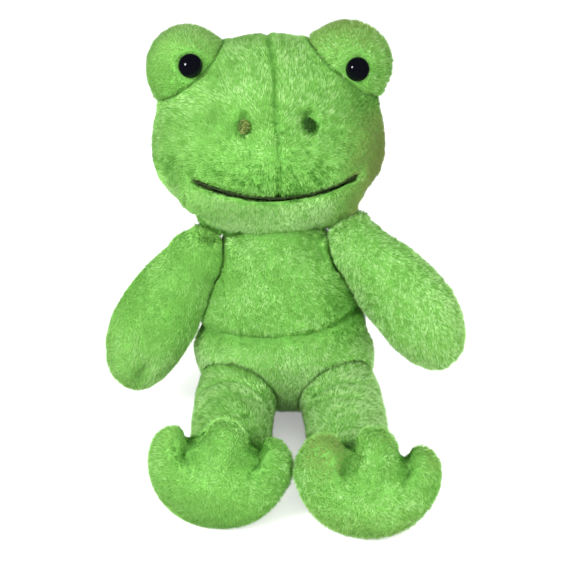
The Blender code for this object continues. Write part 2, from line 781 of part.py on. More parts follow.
def make_arm(side, label):
    point = shoulder_point(side)
    out = ARM_OUT_LEFT if side < 0 else ARM_OUT_RIGHT
    along = Vector((
        side * math.sin(out) * math.cos(ARM_FORWARD),
        -math.sin(ARM_FORWARD),
        -math.cos(out) * math.cos(ARM_FORWARD),
    ))
    turn = TORSO_TURN.to_3x3()
    frame = frame_from(point, turn @ along, turn @ Vector((0, 1, 0)))
    outward = (frame.to_3x3() @ Vector((1, 0, 0))).x
    bend = -math.copysign(ARM_BEND_IN, outward * side)
    sizes = (ARM_HALF_WIDTH, ARM_HALF_DEPTH)
    arm = make_limb(
        "arm_" + label, frame, SHOULDER_RADIUS * SHOULDER_ROOT_SHARE, ARM_LENGTH, sizes, ARM_SHARES, bend,
        ARM_TIP_POWER, ARM_RINGS, ARM_SEGMENTS,
    )
    boolean(arm, as_cutter(add_object("arm_bed_" + label, placed_torso_form(2 * CLEARANCE))))
    boolean(arm, as_cutter(ball(point, SHOULDER_RADIUS, "shoulder_core_" + label)), "UNION")
    set_origin(arm, point)
    return arm


def leg_way(side):
    spread = LEG_SPREAD_LEFT if side < 0 else LEG_SPREAD_RIGHT
    return Vector((side * math.sin(spread), -math.cos(spread), 0))


def foot_frame(side):
    """At the middle of a foot, with Z up through the middle toe and -Y out of the sole."""
    reach = FOOT_REACH_LEFT if side < 0 else FOOT_REACH_RIGHT
    out = FOOT_OUT_LEFT if side < 0 else FOOT_OUT_RIGHT
    centre = hip_point(side) + leg_way(side) * reach + Vector((side * out, 0, 0))
    lean = Matrix.Rotation(-FOOT_LEAN_BACK, 4, "X")
    roll = Matrix.Rotation(FOOT_ROLL, 4, "Y")
    turn = lean @ roll
    lowest = min((turn @ foot_point(step, math.pi / 2)).z for step in range(FOOT_SEGMENTS))
    return Matrix.Translation((centre.x, centre.y, -lowest - FLAT_DEPTH)) @ turn


def foot_point(step, level):
    """A point of the pad: step goes round its outline and level from the sole to the back."""
    turn = math.tau * step / FOOT_SEGMENTS
    from_middle = math.pi - abs(math.pi - turn)
    reach = smooth_value(FOOT_OUTLINE_SHARES, math.degrees(from_middle), 1)
    outwards = math.sin(level) ** FOOT_PILLOW_POWER
    crease = math.exp(-(((from_middle - TOE_CREASE_ANGLE) / TOE_CREASE_SPREAD) ** 2))
    start = max((outwards - TOE_CREASE_START_SHARE) / (1 - TOE_CREASE_START_SHARE), 0)
    thickness = FOOT_HALF_THICKNESS - TOE_CREASE_DEPTH * crease * min(2 * start, 1)
    return Vector((
        FOOT_HALF_WIDTH * reach * outwards * math.sin(turn),
        -thickness * math.cos(level),
        FOOT_HALF_LENGTH * reach * outwards * math.cos(turn),
    ))


def foot_form(side, allowance):
    frame = foot_frame(side)
    rings = []
    for index in range(1, FOOT_RINGS):
        level = math.pi * index / FOOT_RINGS
        rings.append([frame @ foot_point(step, level) for step in range(FOOT_SEGMENTS)])
    first = frame @ Vector((0, -FOOT_HALF_THICKNESS, 0))
    last = frame @ Vector((0, FOOT_HALF_THICKNESS, 0))
    return grow(skin_rings(rings, first, last), allowance)


def make_leg(side, label):
    point = hip_point(side)
    frame = frame_from(point, leg_way(side), Vector((0, 0, 1)))
    sizes = (HIP_RADIUS, HIP_RADIUS)
    leg = make_limb(
        "leg_" + label, frame, HIP_RADIUS, LEG_LENGTH, sizes, LEG_SHARES, 0, LEG_TIP_POWER,
        LEG_RINGS, LEG_SEGMENTS,
    )
    boolean(leg, as_cutter(add_object("foot_bed_" + label, foot_form(side, FOOT_BED_GAP))))
    set_origin(leg, point)
    foot = add_object("foot_" + label, foot_form(side, 0))
    boolean(foot, as_cutter(make_floor("floor_below_foot_" + label)))
    set_origin(foot, point)
    return [leg, foot]


make_torso()
head_pieces = make_head()
for side, label in ((-1, "left"), (1, "right")):
    head_pieces += make_eye_mound(side, label)
    make_arm(side, label)
    make_leg(side, label)
for piece in head_pieces:
    set_origin(piece, NECK_POINT)
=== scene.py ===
"""Plush frog: stuffed skins with sewn seams, combed pile, an embroidered face and glossy safety eyes.

Everything is in metres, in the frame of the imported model. Left and right are as seen from the front.
"""

import json
import math

import bmesh
import bpy
import numpy as np
from bpy.props import FloatProperty, FloatVectorProperty, IntProperty, PointerProperty
from mathutils import Matrix, Vector, kdtree
from mathutils.bvhtree import BVHTree


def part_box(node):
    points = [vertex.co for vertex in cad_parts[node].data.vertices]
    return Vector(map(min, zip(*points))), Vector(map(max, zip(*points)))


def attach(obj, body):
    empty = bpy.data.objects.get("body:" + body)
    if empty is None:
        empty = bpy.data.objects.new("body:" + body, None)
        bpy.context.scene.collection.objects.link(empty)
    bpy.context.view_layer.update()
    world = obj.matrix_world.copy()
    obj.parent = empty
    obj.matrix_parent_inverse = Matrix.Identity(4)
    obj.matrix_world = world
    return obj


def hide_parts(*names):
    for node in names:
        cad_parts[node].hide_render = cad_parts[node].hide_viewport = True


bl_info = {
    "name": "Plush Frog",
    "version": (1, 0, 0),
    "blender": (4, 5, 0),
    "location": "View3D > Sidebar > Plush Frog",
    "description": "Dresses a jointed plush frog with stuffed skins, pile, stitching and safety eyes",
    "category": "Object",
}

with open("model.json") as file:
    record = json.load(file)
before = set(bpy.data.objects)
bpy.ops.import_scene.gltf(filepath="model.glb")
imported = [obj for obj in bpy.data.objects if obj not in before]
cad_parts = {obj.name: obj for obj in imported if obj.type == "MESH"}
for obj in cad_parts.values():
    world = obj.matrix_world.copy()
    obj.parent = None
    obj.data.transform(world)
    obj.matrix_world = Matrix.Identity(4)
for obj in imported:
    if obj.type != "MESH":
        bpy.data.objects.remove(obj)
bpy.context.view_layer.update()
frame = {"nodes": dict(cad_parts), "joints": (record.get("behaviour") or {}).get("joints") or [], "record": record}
MM = 0.001

# The head's own axes: turned about its height, rolled a little, then tilted back
HEAD_CENTRE = Vector((-0.0144, 0.02446, 0.21746))
HEAD_TILT = math.radians(19)
HEAD_ROLL = math.radians(1.3)
HEAD_TURN = math.radians(6)
HEAD_TURNED = (
    Matrix.Rotation(-HEAD_TILT, 3, "X") @ Matrix.Rotation(-HEAD_ROLL, 3, "Y") @ Matrix.Rotation(HEAD_TURN, 3, "Z")
)

# The torso leans back and sways towards its right
TORSO_LEAN = math.radians(13)
TORSO_BASE = Vector((0.0, -0.0287, 0.00498))

# The feet lean back and roll, toes up
FOOT_TURNED = Matrix.Rotation(math.radians(-7), 3, "X") @ Matrix.Rotation(math.radians(8), 3, "Y")

# Places along the plush material's ramp of tones: the greens, and where the browned bundles begin
DARKEST = 0.01
PALEST = 0.78
BROWNED = 0.83
CM2_PER_M2 = 10000

BODY_OF = {node: body for body, nodes in frame["record"]["behaviour"]["bodies"].items() for node in nodes}


def linear(code):
    """An sRGB hex colour as linear red, green and blue."""
    parts = [int(code[place:place + 2], 16) / 255 for place in (1, 3, 5)]
    return tuple(part / 12.92 if part <= 0.04045 else ((part + 0.055) / 1.055) ** 2.4 for part in parts)


class FrogPlushSettings(bpy.types.PropertyGroup):
    pile_length: FloatProperty(
        name="Pile length", description="Length of a fibre bundle of the plush", default=3.9 * MM, unit="LENGTH"
    )
    pile_width: FloatProperty(
        name="Bundle width", description="Width of a fibre bundle at its root", default=0.43 * MM, unit="LENGTH"
    )
    pile_density: FloatProperty(
        name="Bundles per square centimetre", description="How thickly the pile stands", default=160
    )
    inset: FloatProperty(
        name="Backing depth", description="Depth of the knitted backing below the pile's tips",
        default=2.4 * MM, unit="LENGTH",
    )
    voxel: FloatProperty(
        name="Backing mesh", description="Edge length of the backing's mesh", default=4.5 * MM, unit="LENGTH"
    )
    pressure: FloatProperty(name="Stuffing pressure", description="How hard the stuffing swells a skin", default=4.0)
    swell: FloatProperty(
        name="Largest swell", description="How far the stuffing may move the backing", default=3.5 * MM,
        unit="LENGTH",
    )
    swell_frames: IntProperty(name="Swelling steps", description="Steps of the stuffing simulation", default=20)
    # painted shade: the crease green colours pile in seams and creases for the shade that falls there
    crease_shade_green: FloatVectorProperty(
        name="Crease green", description="Pile deep in seams and creases", subtype="COLOR", default=linear("#3a7f16")
    )
    deep_green: FloatVectorProperty(
        name="Deep green", description="Pile in the shade of its own lay", subtype="COLOR", default=linear("#73b34d")
    )
    green: FloatVectorProperty(
        name="Green", description="Most of the pile", subtype="COLOR", default=linear("#8bc963")
    )
    pale_green: FloatVectorProperty(
        name="Pale green", description="Pile whose tips catch the light", subtype="COLOR", default=linear("#a8e680")
    )
    sunlit_green: FloatVectorProperty(
        name="Sunlit green", description="The palest pile", subtype="COLOR", default=linear("#caf4ab")
    )
    # the olive is also painted shade on the frog's left cheek and the bottoms of the feet
    olive: FloatVectorProperty(
        name="Olive", description="Pile browned and matted by handling", subtype="COLOR", default=linear("#8c9c56")
    )
    # painted shade: the backing is darker than the pile, for the shade under the pile
    backing: FloatVectorProperty(
        name="Backing", description="Knitted backing under the pile", subtype="COLOR", default=linear("#5f9a3e")
    )


class FrogFaceSettings(bpy.types.PropertyGroup):
    eye_black: FloatVectorProperty(
        name="Eye", description="Colour of the safety eyes", subtype="COLOR", default=linear("#05060a")
    )
    # painted shade: the mouth's felt is near black for the shade deep in the parting
    mouth_dark: FloatVectorProperty(
        name="Mouth", description="Felt that shows in the mouth", subtype="COLOR", default=linear("#25340f")
    )
    nostril_gold: FloatVectorProperty(
        name="Left nostril", description="Thread of the lit nostril", subtype="COLOR", default=linear("#71833a")
    )
    # painted shade: this darker thread alternates with the gold one, standing in for the shade between stitches
    nostril_olive: FloatVectorProperty(
        name="Second thread", description="Darker thread between the others", subtype="COLOR",
        default=linear("#4d6a26"),
    )
    # painted shade: the right nostril's thread is dark for the shade it lies in
    nostril_dark: FloatVectorProperty(
        name="Right nostril", description="Thread of the shaded nostril", subtype="COLOR", default=linear("#1f4a06")
    )
    washer_white: FloatVectorProperty(
        name="Washer", description="Colour of the washers", subtype="COLOR", default=linear("#e2e2dd")
    )
    stitch_length: FloatProperty(
        name="Stitch length", description="Length of a seed stitch of the nostrils", default=3.2 * MM, unit="LENGTH"
    )
    thread_pitch: FloatProperty(
        name="Thread pitch", description="Spacing of the embroidery threads", default=1.25 * MM, unit="LENGTH"
    )


class FrogStageSettings(bpy.types.PropertyGroup):
    distance: FloatProperty(
        name="Camera distance", description="From the camera to the frog", default=0.95, unit="LENGTH"
    )
    elevation: FloatProperty(
        name="Camera elevation", description="How far the camera looks down", default=math.radians(30),
        subtype="ANGLE",
    )
    lens: FloatProperty(name="Lens", description="Focal length in millimetres", default=75.6)
    floor_white: FloatVectorProperty(
        name="Floor", description="Colour of the floor", subtype="COLOR", default=linear("#f4f4f2")
    )
    key_power: FloatProperty(name="Key light", description="Power of the soft key light in watts", default=7.0)
    fill_power: FloatProperty(name="Fill light", description="Power of the low front light in watts", default=17.0)
    top_power: FloatProperty(name="Top light", description="Power of the overhead light in watts", default=8.0)
    spark_power: FloatProperty(
        name="Catch light", description="Power of the small lamp that the eyes mirror, in watts", default=18.0
    )
    sky: FloatProperty(name="Room light", description="Strength of the light from all around", default=1.0)


def add_node(tree, kind, inputs=None, stops=None, **settings):
    """Add a node, set it up, link or fill its inputs, and give a ramp its stops."""
    node = tree.nodes.new(kind)
    for name, value in settings.items():
        setattr(node, name, value)
    for name, value in (inputs or {}).items():
        socket = node.inputs[name]
        if isinstance(value, bpy.types.NodeSocket):
            tree.links.new(value, socket)
        else:
            socket.default_value = value
    if stops:
        ramp = node.color_ramp
        while len(ramp.elements) < len(stops):
            ramp.elements.new(1.0)
        for element, (place, colour) in zip(ramp.elements, stops):
            element.position = place
            element.color = (*colour, 1.0)
    return node


def new_material(name):
    material = bpy.data.materials.new(name)
    material.use_nodes = True
    material.node_tree.nodes.clear()
    return material, material.node_tree


def close_material(tree, shader):
    add_node(tree, "ShaderNodeOutputMaterial", {"Surface": shader.outputs[0]})


def grain(tree, kind, width, inputs=None, **settings):
    """A texture in the object's coordinates whose features are about width across."""
    place = add_node(tree, "ShaderNodeTexCoord")
    return add_node(tree, kind, {"Vector": place.outputs["Object"], "Scale": 1 / width, **(inputs or {})}, **settings)


def shaded(tree, factor, colour, darkest, low, high):
    """A colour that falls to a share of itself as a factor falls from high to low."""
    dark = tuple(darkest * part for part in colour)
    return add_node(tree, "ShaderNodeValToRGB", {"Fac": factor}, stops=((low, dark), (high, colour))).outputs["Color"]


def bumped(tree, height, distance, strength=1.0):
    """Normals for a relief of that height."""
    relief = {"Height": height, "Strength": strength, "Distance": distance}
    return add_node(tree, "ShaderNodeBump", relief).outputs["Normal"]


def principled(tree, inputs):
    close_material(tree, add_node(tree, "ShaderNodeBsdfPrincipled", inputs))


def polyester_plush():
    """Polyester plush pile: dyed fibre, painted darker at the roots as the shade deep in the pile, whose tips scatter
    a soft light.
    """
    plush = bpy.context.scene.frog_plush
    material, tree = new_material("polyester_plush_pile")
    place = add_node(tree, "ShaderNodeUVMap", uv_map="OFBake")
    split = add_node(tree, "ShaderNodeSeparateXYZ", {"Vector": place.outputs["UV"]})
    # across the map: the bundle's tone, from the crease green of painted shade to sunlit, and then the browned ones
    shade = add_node(
        tree, "ShaderNodeValToRGB", {"Fac": split.outputs["X"]},
        stops=(
            (0.0, plush.crease_shade_green), (0.14, plush.deep_green), (0.36, plush.green), (0.60, plush.pale_green),
            (0.79, plush.sunlit_green), (BROWNED, plush.green), (1.0, plush.olive),
        ),
    )
    # up the map: from the root to the tip, painted darker towards the root as the shade deep in the pile
    rise = add_node(
        tree, "ShaderNodeValToRGB", {"Fac": split.outputs["Y"]},
        stops=((0.0, (0.20, 0.28, 0.13)), (0.40, (0.66, 0.72, 0.56)), (0.85, (1.0, 1.0, 1.0))),
    )
    colour = add_node(tree, "ShaderNodeMix", data_type="RGBA", blend_type="MULTIPLY")
    colour.inputs[0].default_value = 1.0
    tree.links.new(shade.outputs["Color"], colour.inputs[6])
    tree.links.new(rise.outputs["Color"], colour.inputs[7])
    principled(tree, {"Base Color": colour.outputs[2], "Roughness": 0.82, "IOR": 1.53, "Specular IOR Level": 0.25})
    return material


def knitted_backing():
    """Knitted polyester backing: matte, mottled where the pile is rooted, with a fine loop grain, and coloured darker
    than the pile as painted shade under it.
    """
    plush = bpy.context.scene.frog_plush
    material, tree = new_material("knitted_polyester_backing")
    mottle = grain(tree, "ShaderNodeTexNoise", 8 * MM, {"Detail": 3.0})
    # the loops are coarser than real ones so that they show
    loops = grain(tree, "ShaderNodeTexVoronoi", 1.2 * MM)
    principled(tree, {
        "Base Color": shaded(tree, mottle.outputs["Fac"], plush.backing, 0.72, 0.3, 0.7),
        "Normal": bumped(tree, loops.outputs["Distance"], 0.4 * MM, strength=0.5),
        "Roughness": 0.9, "IOR": 1.53,
    })
    return material


def wool_felt():
    """Pressed wool felt: dead matte, with short fibres that blur its colour, which is near black as painted shade for
    the mouth's deep parting.
    """
    face = bpy.context.scene.frog_face
    material, tree = new_material("wool_felt_mouth_shade")
    fibres = grain(tree, "ShaderNodeTexNoise", 1.5 * MM, {"Detail": 4.0})
    principled(tree, {
        "Base Color": shaded(tree, fibres.outputs["Fac"], face.mouth_dark, 0.45, 0.35, 0.7),
        "Normal": bumped(tree, fibres.outputs["Fac"], 0.5 * MM),
        "Roughness": 1.0,
    })
    return material


def rayon_thread(name, colour):
    """Twisted rayon thread: silky, with a fine diagonal twist."""
    material, tree = new_material(name)
    # with this scale the twist repeats every 0.6 mm or so
    twist = grain(tree, "ShaderNodeTexWave", 2.6 * MM, {"Distortion": 3.0}, bands_direction="DIAGONAL")
    principled(tree, {
        "Base Color": shaded(tree, twist.outputs["Fac"], colour, 0.22, 0.15, 0.75),
        "Normal": bumped(tree, twist.outputs["Fac"], 0.12 * MM),
        "Roughness": 0.42,
    })
    return material


def polished_acrylic():
    """Injection-moulded black acrylic: polished, with faint dust that dulls its gloss in places."""
    face = bpy.context.scene.frog_face
    material, tree = new_material("polished_black_acrylic")
    dust = grain(tree, "ShaderNodeTexNoise", 4 * MM, {"Detail": 6.0})
    gloss = add_node(tree, "ShaderNodeMapRange", {"Value": dust.outputs["Fac"], "To Min": 0.04, "To Max": 0.11})
    principled(tree, {
        "Base Color": (*face.eye_black, 1.0), "Roughness": gloss.outputs["Result"], "IOR": 1.49,
        "Specular IOR Level": 0.24,
    })
    return material


def moulded_polyethylene():
    """Moulded white polyethylene: waxy, with a slight flow mottle."""
    face = bpy.context.scene.frog_face
    material, tree = new_material("moulded_white_polyethylene")
    flow = grain(tree, "ShaderNodeTexNoise", 3 * MM, {"Detail": 2.0})
    principled(tree, {
        "Base Color": shaded(tree, flow.outputs["Fac"], face.washer_white, 0.88, 0.3, 0.7),
        "Roughness": 0.45, "IOR": 1.51,
    })
    return material


MATERIALS = {}


def finish(name):
    """The material of that name, made once."""
    if name not in MATERIALS:
        face = bpy.context.scene.frog_face
        makers = {
            "pile": polyester_plush,
            "backing": knitted_backing,
            "felt": wool_felt,
            "gold_thread": lambda: rayon_thread("rayon_thread_golden_olive", face.nostril_gold),
            "olive_thread": lambda: rayon_thread("rayon_thread_olive", face.nostril_olive),
            "shaded_thread": lambda: rayon_thread("rayon_thread_painted_shade", face.nostril_dark),
            "acrylic": polished_acrylic,
            "polyethylene": moulded_polyethylene,
        }
        MATERIALS[name] = makers[name]()
    return MATERIALS[name]


def deselect_all():
    if bpy.context.object and bpy.context.object.mode != "OBJECT":
        bpy.ops.object.mode_set(mode="OBJECT")
    bpy.ops.object.select_all(action="DESELECT")


def make_active(item):
    deselect_all()
    item.select_set(True)
    bpy.context.view_layer.objects.active = item


def apply_all(item):
    make_active(item)
    for step in list(item.modifiers):
        bpy.ops.object.modifier_apply(modifier=step.name)


def points_of(mesh):
    places = np.empty(len(mesh.vertices) * 3, np.float32)
    mesh.vertices.foreach_get("co", places)
    return places.reshape(-1, 3).astype(float)


def put_points(mesh, places):
    mesh.vertices.foreach_set("co", places.astype(np.float32).ravel())
    mesh.update()


def normals_of(mesh):
    ways = np.empty(len(mesh.vertices) * 3, np.float32)
    mesh.vertex_normals.foreach_get("vector", ways)
    return ways.reshape(-1, 3).astype(float)


def node_points(node):
    return points_of(frame["nodes"][node].data)


def solids_tree(nodes):
    """The solids of some nodes as one tree to measure from."""
    places = []
    faces = []
    for node in nodes:
        mesh = frame["nodes"][node].data
        start = len(places)
        places += [vertex.co.copy() for vertex in mesh.vertices]
        faces += [[start + corner for corner in face.vertices] for face in mesh.polygons]
    return BVHTree.FromPolygons(places, faces)


def others(node, without=()):
    return [name for name in frame["nodes"] if name != node and name not in without]


def line_off(flat, line):
    """The distance of some flat places from a line of points, and how far along it they lie, from 0 to 1."""
    line = np.array(line, float)
    steps = np.linalg.norm(np.diff(line, axis=0), axis=1)
    best = np.full(len(flat), np.inf)
    along = np.zeros(len(flat))
    for index, (start, end) in enumerate(zip(line[:-1], line[1:])):
        way = end - start
        share = np.clip(((flat - start) @ way) / (way @ way), 0.0, 1.0)
        off = np.linalg.norm(flat - start - share[:, None] * way, axis=1)
        nearer = off < best
        best = np.where(nearer, off, best)
        along = np.where(nearer, (steps[:index].sum() + share * steps[index]) / steps.sum(), along)
    return best, along


def eased(value, low, high):
    """0 below low, 1 above high, and a smooth rise between."""
    share = np.clip((value - low) / (high - low), 0.0, 1.0)
    return share * share * (3 - 2 * share)


def unit(ways):
    return ways / np.maximum(np.linalg.norm(ways, axis=1, keepdims=True), 1e-9)


def waves(places, width, seed):
    """A smooth seeded field from about -1 to 1 whose swells are about width across."""
    rng = np.random.default_rng(seed)
    total = np.zeros(len(places))
    for _ in range(6):
        way = rng.normal(size=3)
        way *= rng.uniform(0.7, 1.4) * math.pi / (width * np.linalg.norm(way))
        total += np.sin(places @ way + rng.uniform(0, math.tau))
    return total / 2.6


def neighbour_of(places, tree):
    """How far the nearest other solid is, and the way to it."""
    spots = [tree.find_nearest(place) for place in places]
    gaps = np.array([spot[3] for spot in spots])
    return gaps, unit(np.array([spot[0] for spot in spots]) - places)


def room_around(places, tree, near, far):
    """0 where another solid is nearer than near, 1 where none is nearer than far."""
    return eased(neighbour_of(places, tree)[0], near, far)


def headroom(places, ways, tree, most):
    """How far each place is from the next solid straight out from it."""
    clear = np.full(len(places), most)
    for index, (place, way) in enumerate(zip(places, ways)):
        hit = tree.ray_cast(Vector(place + way * 0.2 * MM), Vector(way), most)
        if hit[0] is not None:
            clear[index] = hit[3]
    return clear


def merged_form(node, plug=None):
    """A CAD node's mesh as a merged bmesh; plug is an axis and radius whose hole is filled."""
    bm = bmesh.new()
    bm.from_mesh(frame["nodes"][node].data)
    bmesh.ops.remove_doubles(bm, verts=bm.verts, dist=0.01 * MM)
    if plug:
        start, way, radius = plug
        inside = []
        for vertex in bm.verts:
            offset = vertex.co - start
            if (offset - way * offset.dot(way)).length < radius:
                inside.append(vertex)
        bmesh.ops.delete(bm, geom=inside, context="VERTS")
        rims = [edge for edge in bm.edges if edge.is_boundary]
        bmesh.ops.holes_fill(bm, edges=rims, sides=0)
    return bm


def closed_copy(node, name, plug=None):
    """A merged copy of a CAD node's mesh as a new object."""
    mesh = bpy.data.meshes.new(name)
    bm = merged_form(node, plug)
    bm.to_mesh(mesh)
    bm.free()
    item = bpy.data.objects.new(name, mesh)
    bpy.context.collection.objects.link(item)
    return item


def swell(item, room):
    """Stuff a closed skin: cloth under pressure, with each point's move capped."""
    plush = bpy.context.scene.frog_plush
    before = points_of(item.data)
    make_active(item)
    cloth = item.modifiers.new("stuffing", "CLOTH")
    cloth.settings.use_pressure = True
    cloth.settings.uniform_pressure_force = plush.pressure
    cloth.settings.effector_weights.gravity = 0.0
    cloth.settings.quality = 4
    cloth.collision_settings.use_self_collision = False
    cloth.point_cache.frame_start = 1
    cloth.point_cache.frame_end = plush.swell_frames
    for step in range(1, plush.swell_frames + 1):
        bpy.context.scene.frame_set(step)
    shaped = item.evaluated_get(bpy.context.evaluated_depsgraph_get())
    after = points_of(shaped.data)
    item.modifiers.remove(cloth)
    bpy.context.scene.frame_set(1)
    move = after - before
    reach = np.linalg.norm(move, axis=1, keepdims=True)
    cap = plush.swell * (0.1 + 0.9 * room[:, None])
    put_points(item.data, before + move * np.minimum(1.0, cap / np.maximum(reach, 1e-9)))


def drawn_in(places, seams):
    """How deep seams and folds draw a skin in at some places."""
    depth = np.zeros(len(places))
    for seam in seams:
        depth = np.maximum(depth, seam(places))
    return depth


def fold(off, narrow, wide, depth):
    """A fold's depth at a distance from its line: a sharp crease in a soft valley."""
    return depth * (0.55 * np.exp(-((off / narrow) ** 2)) + 0.45 * np.exp(-((off / wide) ** 2)))


def settle(mesh, form, depth):
    """Move a skin out or in along its normals until it lies at a depth below a form's surface."""
    places = points_of(mesh)
    below = np.array([form.find_nearest(place)[3] for place in places])
    put_points(mesh, places + normals_of(mesh) * np.clip(below - depth, -1 * MM, 3 * MM)[:, None])


# The gaps between the jowls, the shoulders and the torso, which the pile fills, in millimetres
NECK_GAPS = ((-60, -10, 157), (-52, -12, 157), (30, 0, 154), (40, -2, 159), (48, 0, 164))


def neck_gap(places):
    """1 in the gaps beside the neck, fading to 0 some millimetres off them."""
    offs = [np.linalg.norm(places / MM - np.array(spot), axis=1) for spot in NECK_GAPS]
    return 1 - eased(np.min(offs, axis=0), 8, 18)


def stuffed_skin(node, name, seams=(), plug=None, without=()):
    """A stuffed skin over a CAD node: set in below the pile, swelled by its stuffing and sewn along its seams."""
    plush = bpy.context.scene.frog_plush
    item = closed_copy(node, name, plug)
    step = item.modifiers.new("knit", "REMESH")
    step.mode = "VOXEL"
    step.voxel_size = plush.voxel
    apply_all(item)
    tree = solids_tree(others(node, without))
    solid = merged_form(node, plug)
    form = BVHTree.FromBMesh(solid)
    solid.free()
    room = room_around(points_of(item.data), tree, 0.8 * MM, 10 * MM)
    depth = 0.4 * MM + (plush.inset - 0.4 * MM) * room
    put_points(item.data, points_of(item.data) - normals_of(item.data) * depth[:, None])
    for _ in range(3):
        settle(item.data, form, depth)
    swell(item, room)
    step = item.modifiers.new("round", "SUBSURF")
    step.levels = 1
    step.render_levels = 1
    apply_all(item)
    places = points_of(item.data)
    bulge = neck_gap(places) * np.minimum(0.42 * neighbour_of(places, tree)[0], 4.5 * MM)
    put_points(item.data, places + normals_of(item.data) * (bulge - drawn_in(places, seams))[:, None])
    make_active(item)
    bpy.ops.object.shade_smooth()
    item.data.materials.append(finish("backing"))
    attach(item, BODY_OF[node])
    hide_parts(node)
    return item


def scatter(mesh, count, rng):
    """Seeded places on a mesh, evenly by area, with smooth normals."""
    mesh.calc_loop_triangles()
    corners = np.empty(len(mesh.loop_triangles) * 3, np.int32)
    mesh.loop_triangles.foreach_get("vertices", corners)
    corners = corners.reshape(-1, 3)
    places = points_of(mesh)
    ways = normals_of(mesh)
    a, b, c = (places[corners[:, side]] for side in range(3))
    areas = np.linalg.norm(np.cross(b - a, c - a), axis=1) / 2
    chosen = np.searchsorted(np.cumsum(areas) / areas.sum(), rng.random(count)).clip(0, len(corners) - 1)
    first = np.sqrt(rng.random(count))
    second = rng.random(count)
    shares = np.stack([1 - first, first * (1 - second), first * second], 1)[:, :, None]
    picked = corners[chosen]
    return (places[picked] * shares).sum(1), unit((ways[picked] * shares).sum(1)), areas.sum()


def bundle_mesh(name, roots, tips, widths, shades):
    """Closed three-sided slivers from root to tip, with their shade and height in the bake map."""
    count = len(roots)
    along = unit(tips - roots)
    helper = np.where(np.abs(along[:, 2:3]) > 0.9, [[1.0, 0.0, 0.0]], [[0.0, 0.0, 1.0]])
    first = unit(np.cross(along, helper))
    second = np.cross(along, first)
    corners = []
    for corner in range(3):
        angle = math.tau * corner / 3
        spread = first * math.cos(angle) + second * math.sin(angle)
        corners.append(roots + spread * widths[:, None] / 2)
    places = np.stack([*corners, tips], 1).reshape(-1, 3)
    faces = [(2, 1, 0), (0, 1, 3), (1, 2, 3), (2, 0, 3)]
    lifts = [((0.0, 0.0), (1.0, 0.02), (-1.0, 0.0))] + [((-1.0, 0.03), (1.0, 0.03), (0.0, 0.98))] * 3
    loops = (np.array(faces)[None] + 4 * np.arange(count)[:, None, None]).reshape(-1)
    mesh = bpy.data.meshes.new(name)
    mesh.vertices.add(len(places))
    mesh.vertices.foreach_set("co", places.astype(np.float32).ravel())
    mesh.loops.add(len(loops))
    mesh.loops.foreach_set("vertex_index", loops.astype(np.int32))
    mesh.polygons.add(len(loops) // 3)
    mesh.polygons.foreach_set("loop_start", np.arange(0, len(loops), 3, dtype=np.int32))
    mesh.polygons.foreach_set("loop_total", np.full(len(loops) // 3, 3, np.int32))
    mesh.update(calc_edges=True)
    layer = mesh.uv_layers.new(name="OFBake")
    lifts = np.array(lifts)[None]
    spots = np.empty((count, len(faces), 3, 2))
    spots[..., 0] = shades[:, None, None] + 0.006 * lifts[..., 0]
    spots[..., 1] = lifts[..., 1]
    layer.data.foreach_set("uv", spots.astype(np.float32).ravel())
    mesh.shade_smooth()
    return mesh


def ruffled(places):
    """How ruffled the nap is: brushed smooth on the frog's right, and curling on its left."""
    side = eased(places[:, 0], -75 * MM, 25 * MM)
    return np.clip(0.30 + 0.62 * side + 0.16 * waves(places, 45 * MM, 5), 0.15, 1.0)


def in_greens(tone):
    """Tones kept within the ramp's greens."""
    return np.clip(tone, DARKEST, PALEST)


def planted(node, skin, rng, density, keep, parting, lining, without):
    """Seeded roots over a skin with their ways out, how far each may grow, and the solids that move past."""
    plush = bpy.context.scene.frog_plush
    area = scatter(skin.data, 1, np.random.default_rng(0))[2]
    count = int(area * CM2_PER_M2 * plush.pile_density * density)
    roots, ways, _ = scatter(skin.data, count, rng)
    # the pile stands thicker in the gaps beside the neck
    more, more_ways, _ = scatter(skin.data, count, rng)
    thick = neck_gap(more) > 0.3
    roots, ways = np.vstack((roots, more[thick])), np.vstack((ways, more_ways[thick]))
    if keep is not None:
        kept = keep(roots, ways)
        roots, ways = roots[kept], ways[kept]

    # no pile between solids that meet, except where it lines a parting
    kin = [name for name in others(node, without) if BODY_OF[name] == BODY_OF[node]]
    movers = solids_tree([name for name in others(node, without) if name not in kin])
    clear = headroom(roots, ways, movers, plush.pile_length * 1.5)
    kept = clear > 1.3 * MM
    if kin:
        free = headroom(roots, ways, solids_tree(kin), plush.pile_length) > 0.8 * MM
        kept &= (free | (parting(roots) > 0.3)) if lining else free
    return roots[kept], ways[kept], clear[kept], movers


def gathered(roots, tips, ruffle, rng):
    """Tips drawn towards that of the nearest tuft's leader, with each one's tuft and the number of tufts."""
    tuft_count = max(len(roots) // 14, 1)
    leaders = rng.choice(len(roots), tuft_count, replace=False)
    finder = kdtree.KDTree(tuft_count)
    for place, leader in enumerate(leaders):
        finder.insert(roots[leader], place)
    finder.balance()
    tuft = np.array([finder.find(root)[1] for root in roots])
    owner = leaders[tuft]
    pull = (rng.uniform(0.10, 0.60, len(roots)) * (0.20 + 0.80 * ruffle))[:, None]
    joined = tips[owner] + 0.25 * (roots - roots[owner])
    return tips * (1 - pull) + joined * pull, tuft, tuft_count


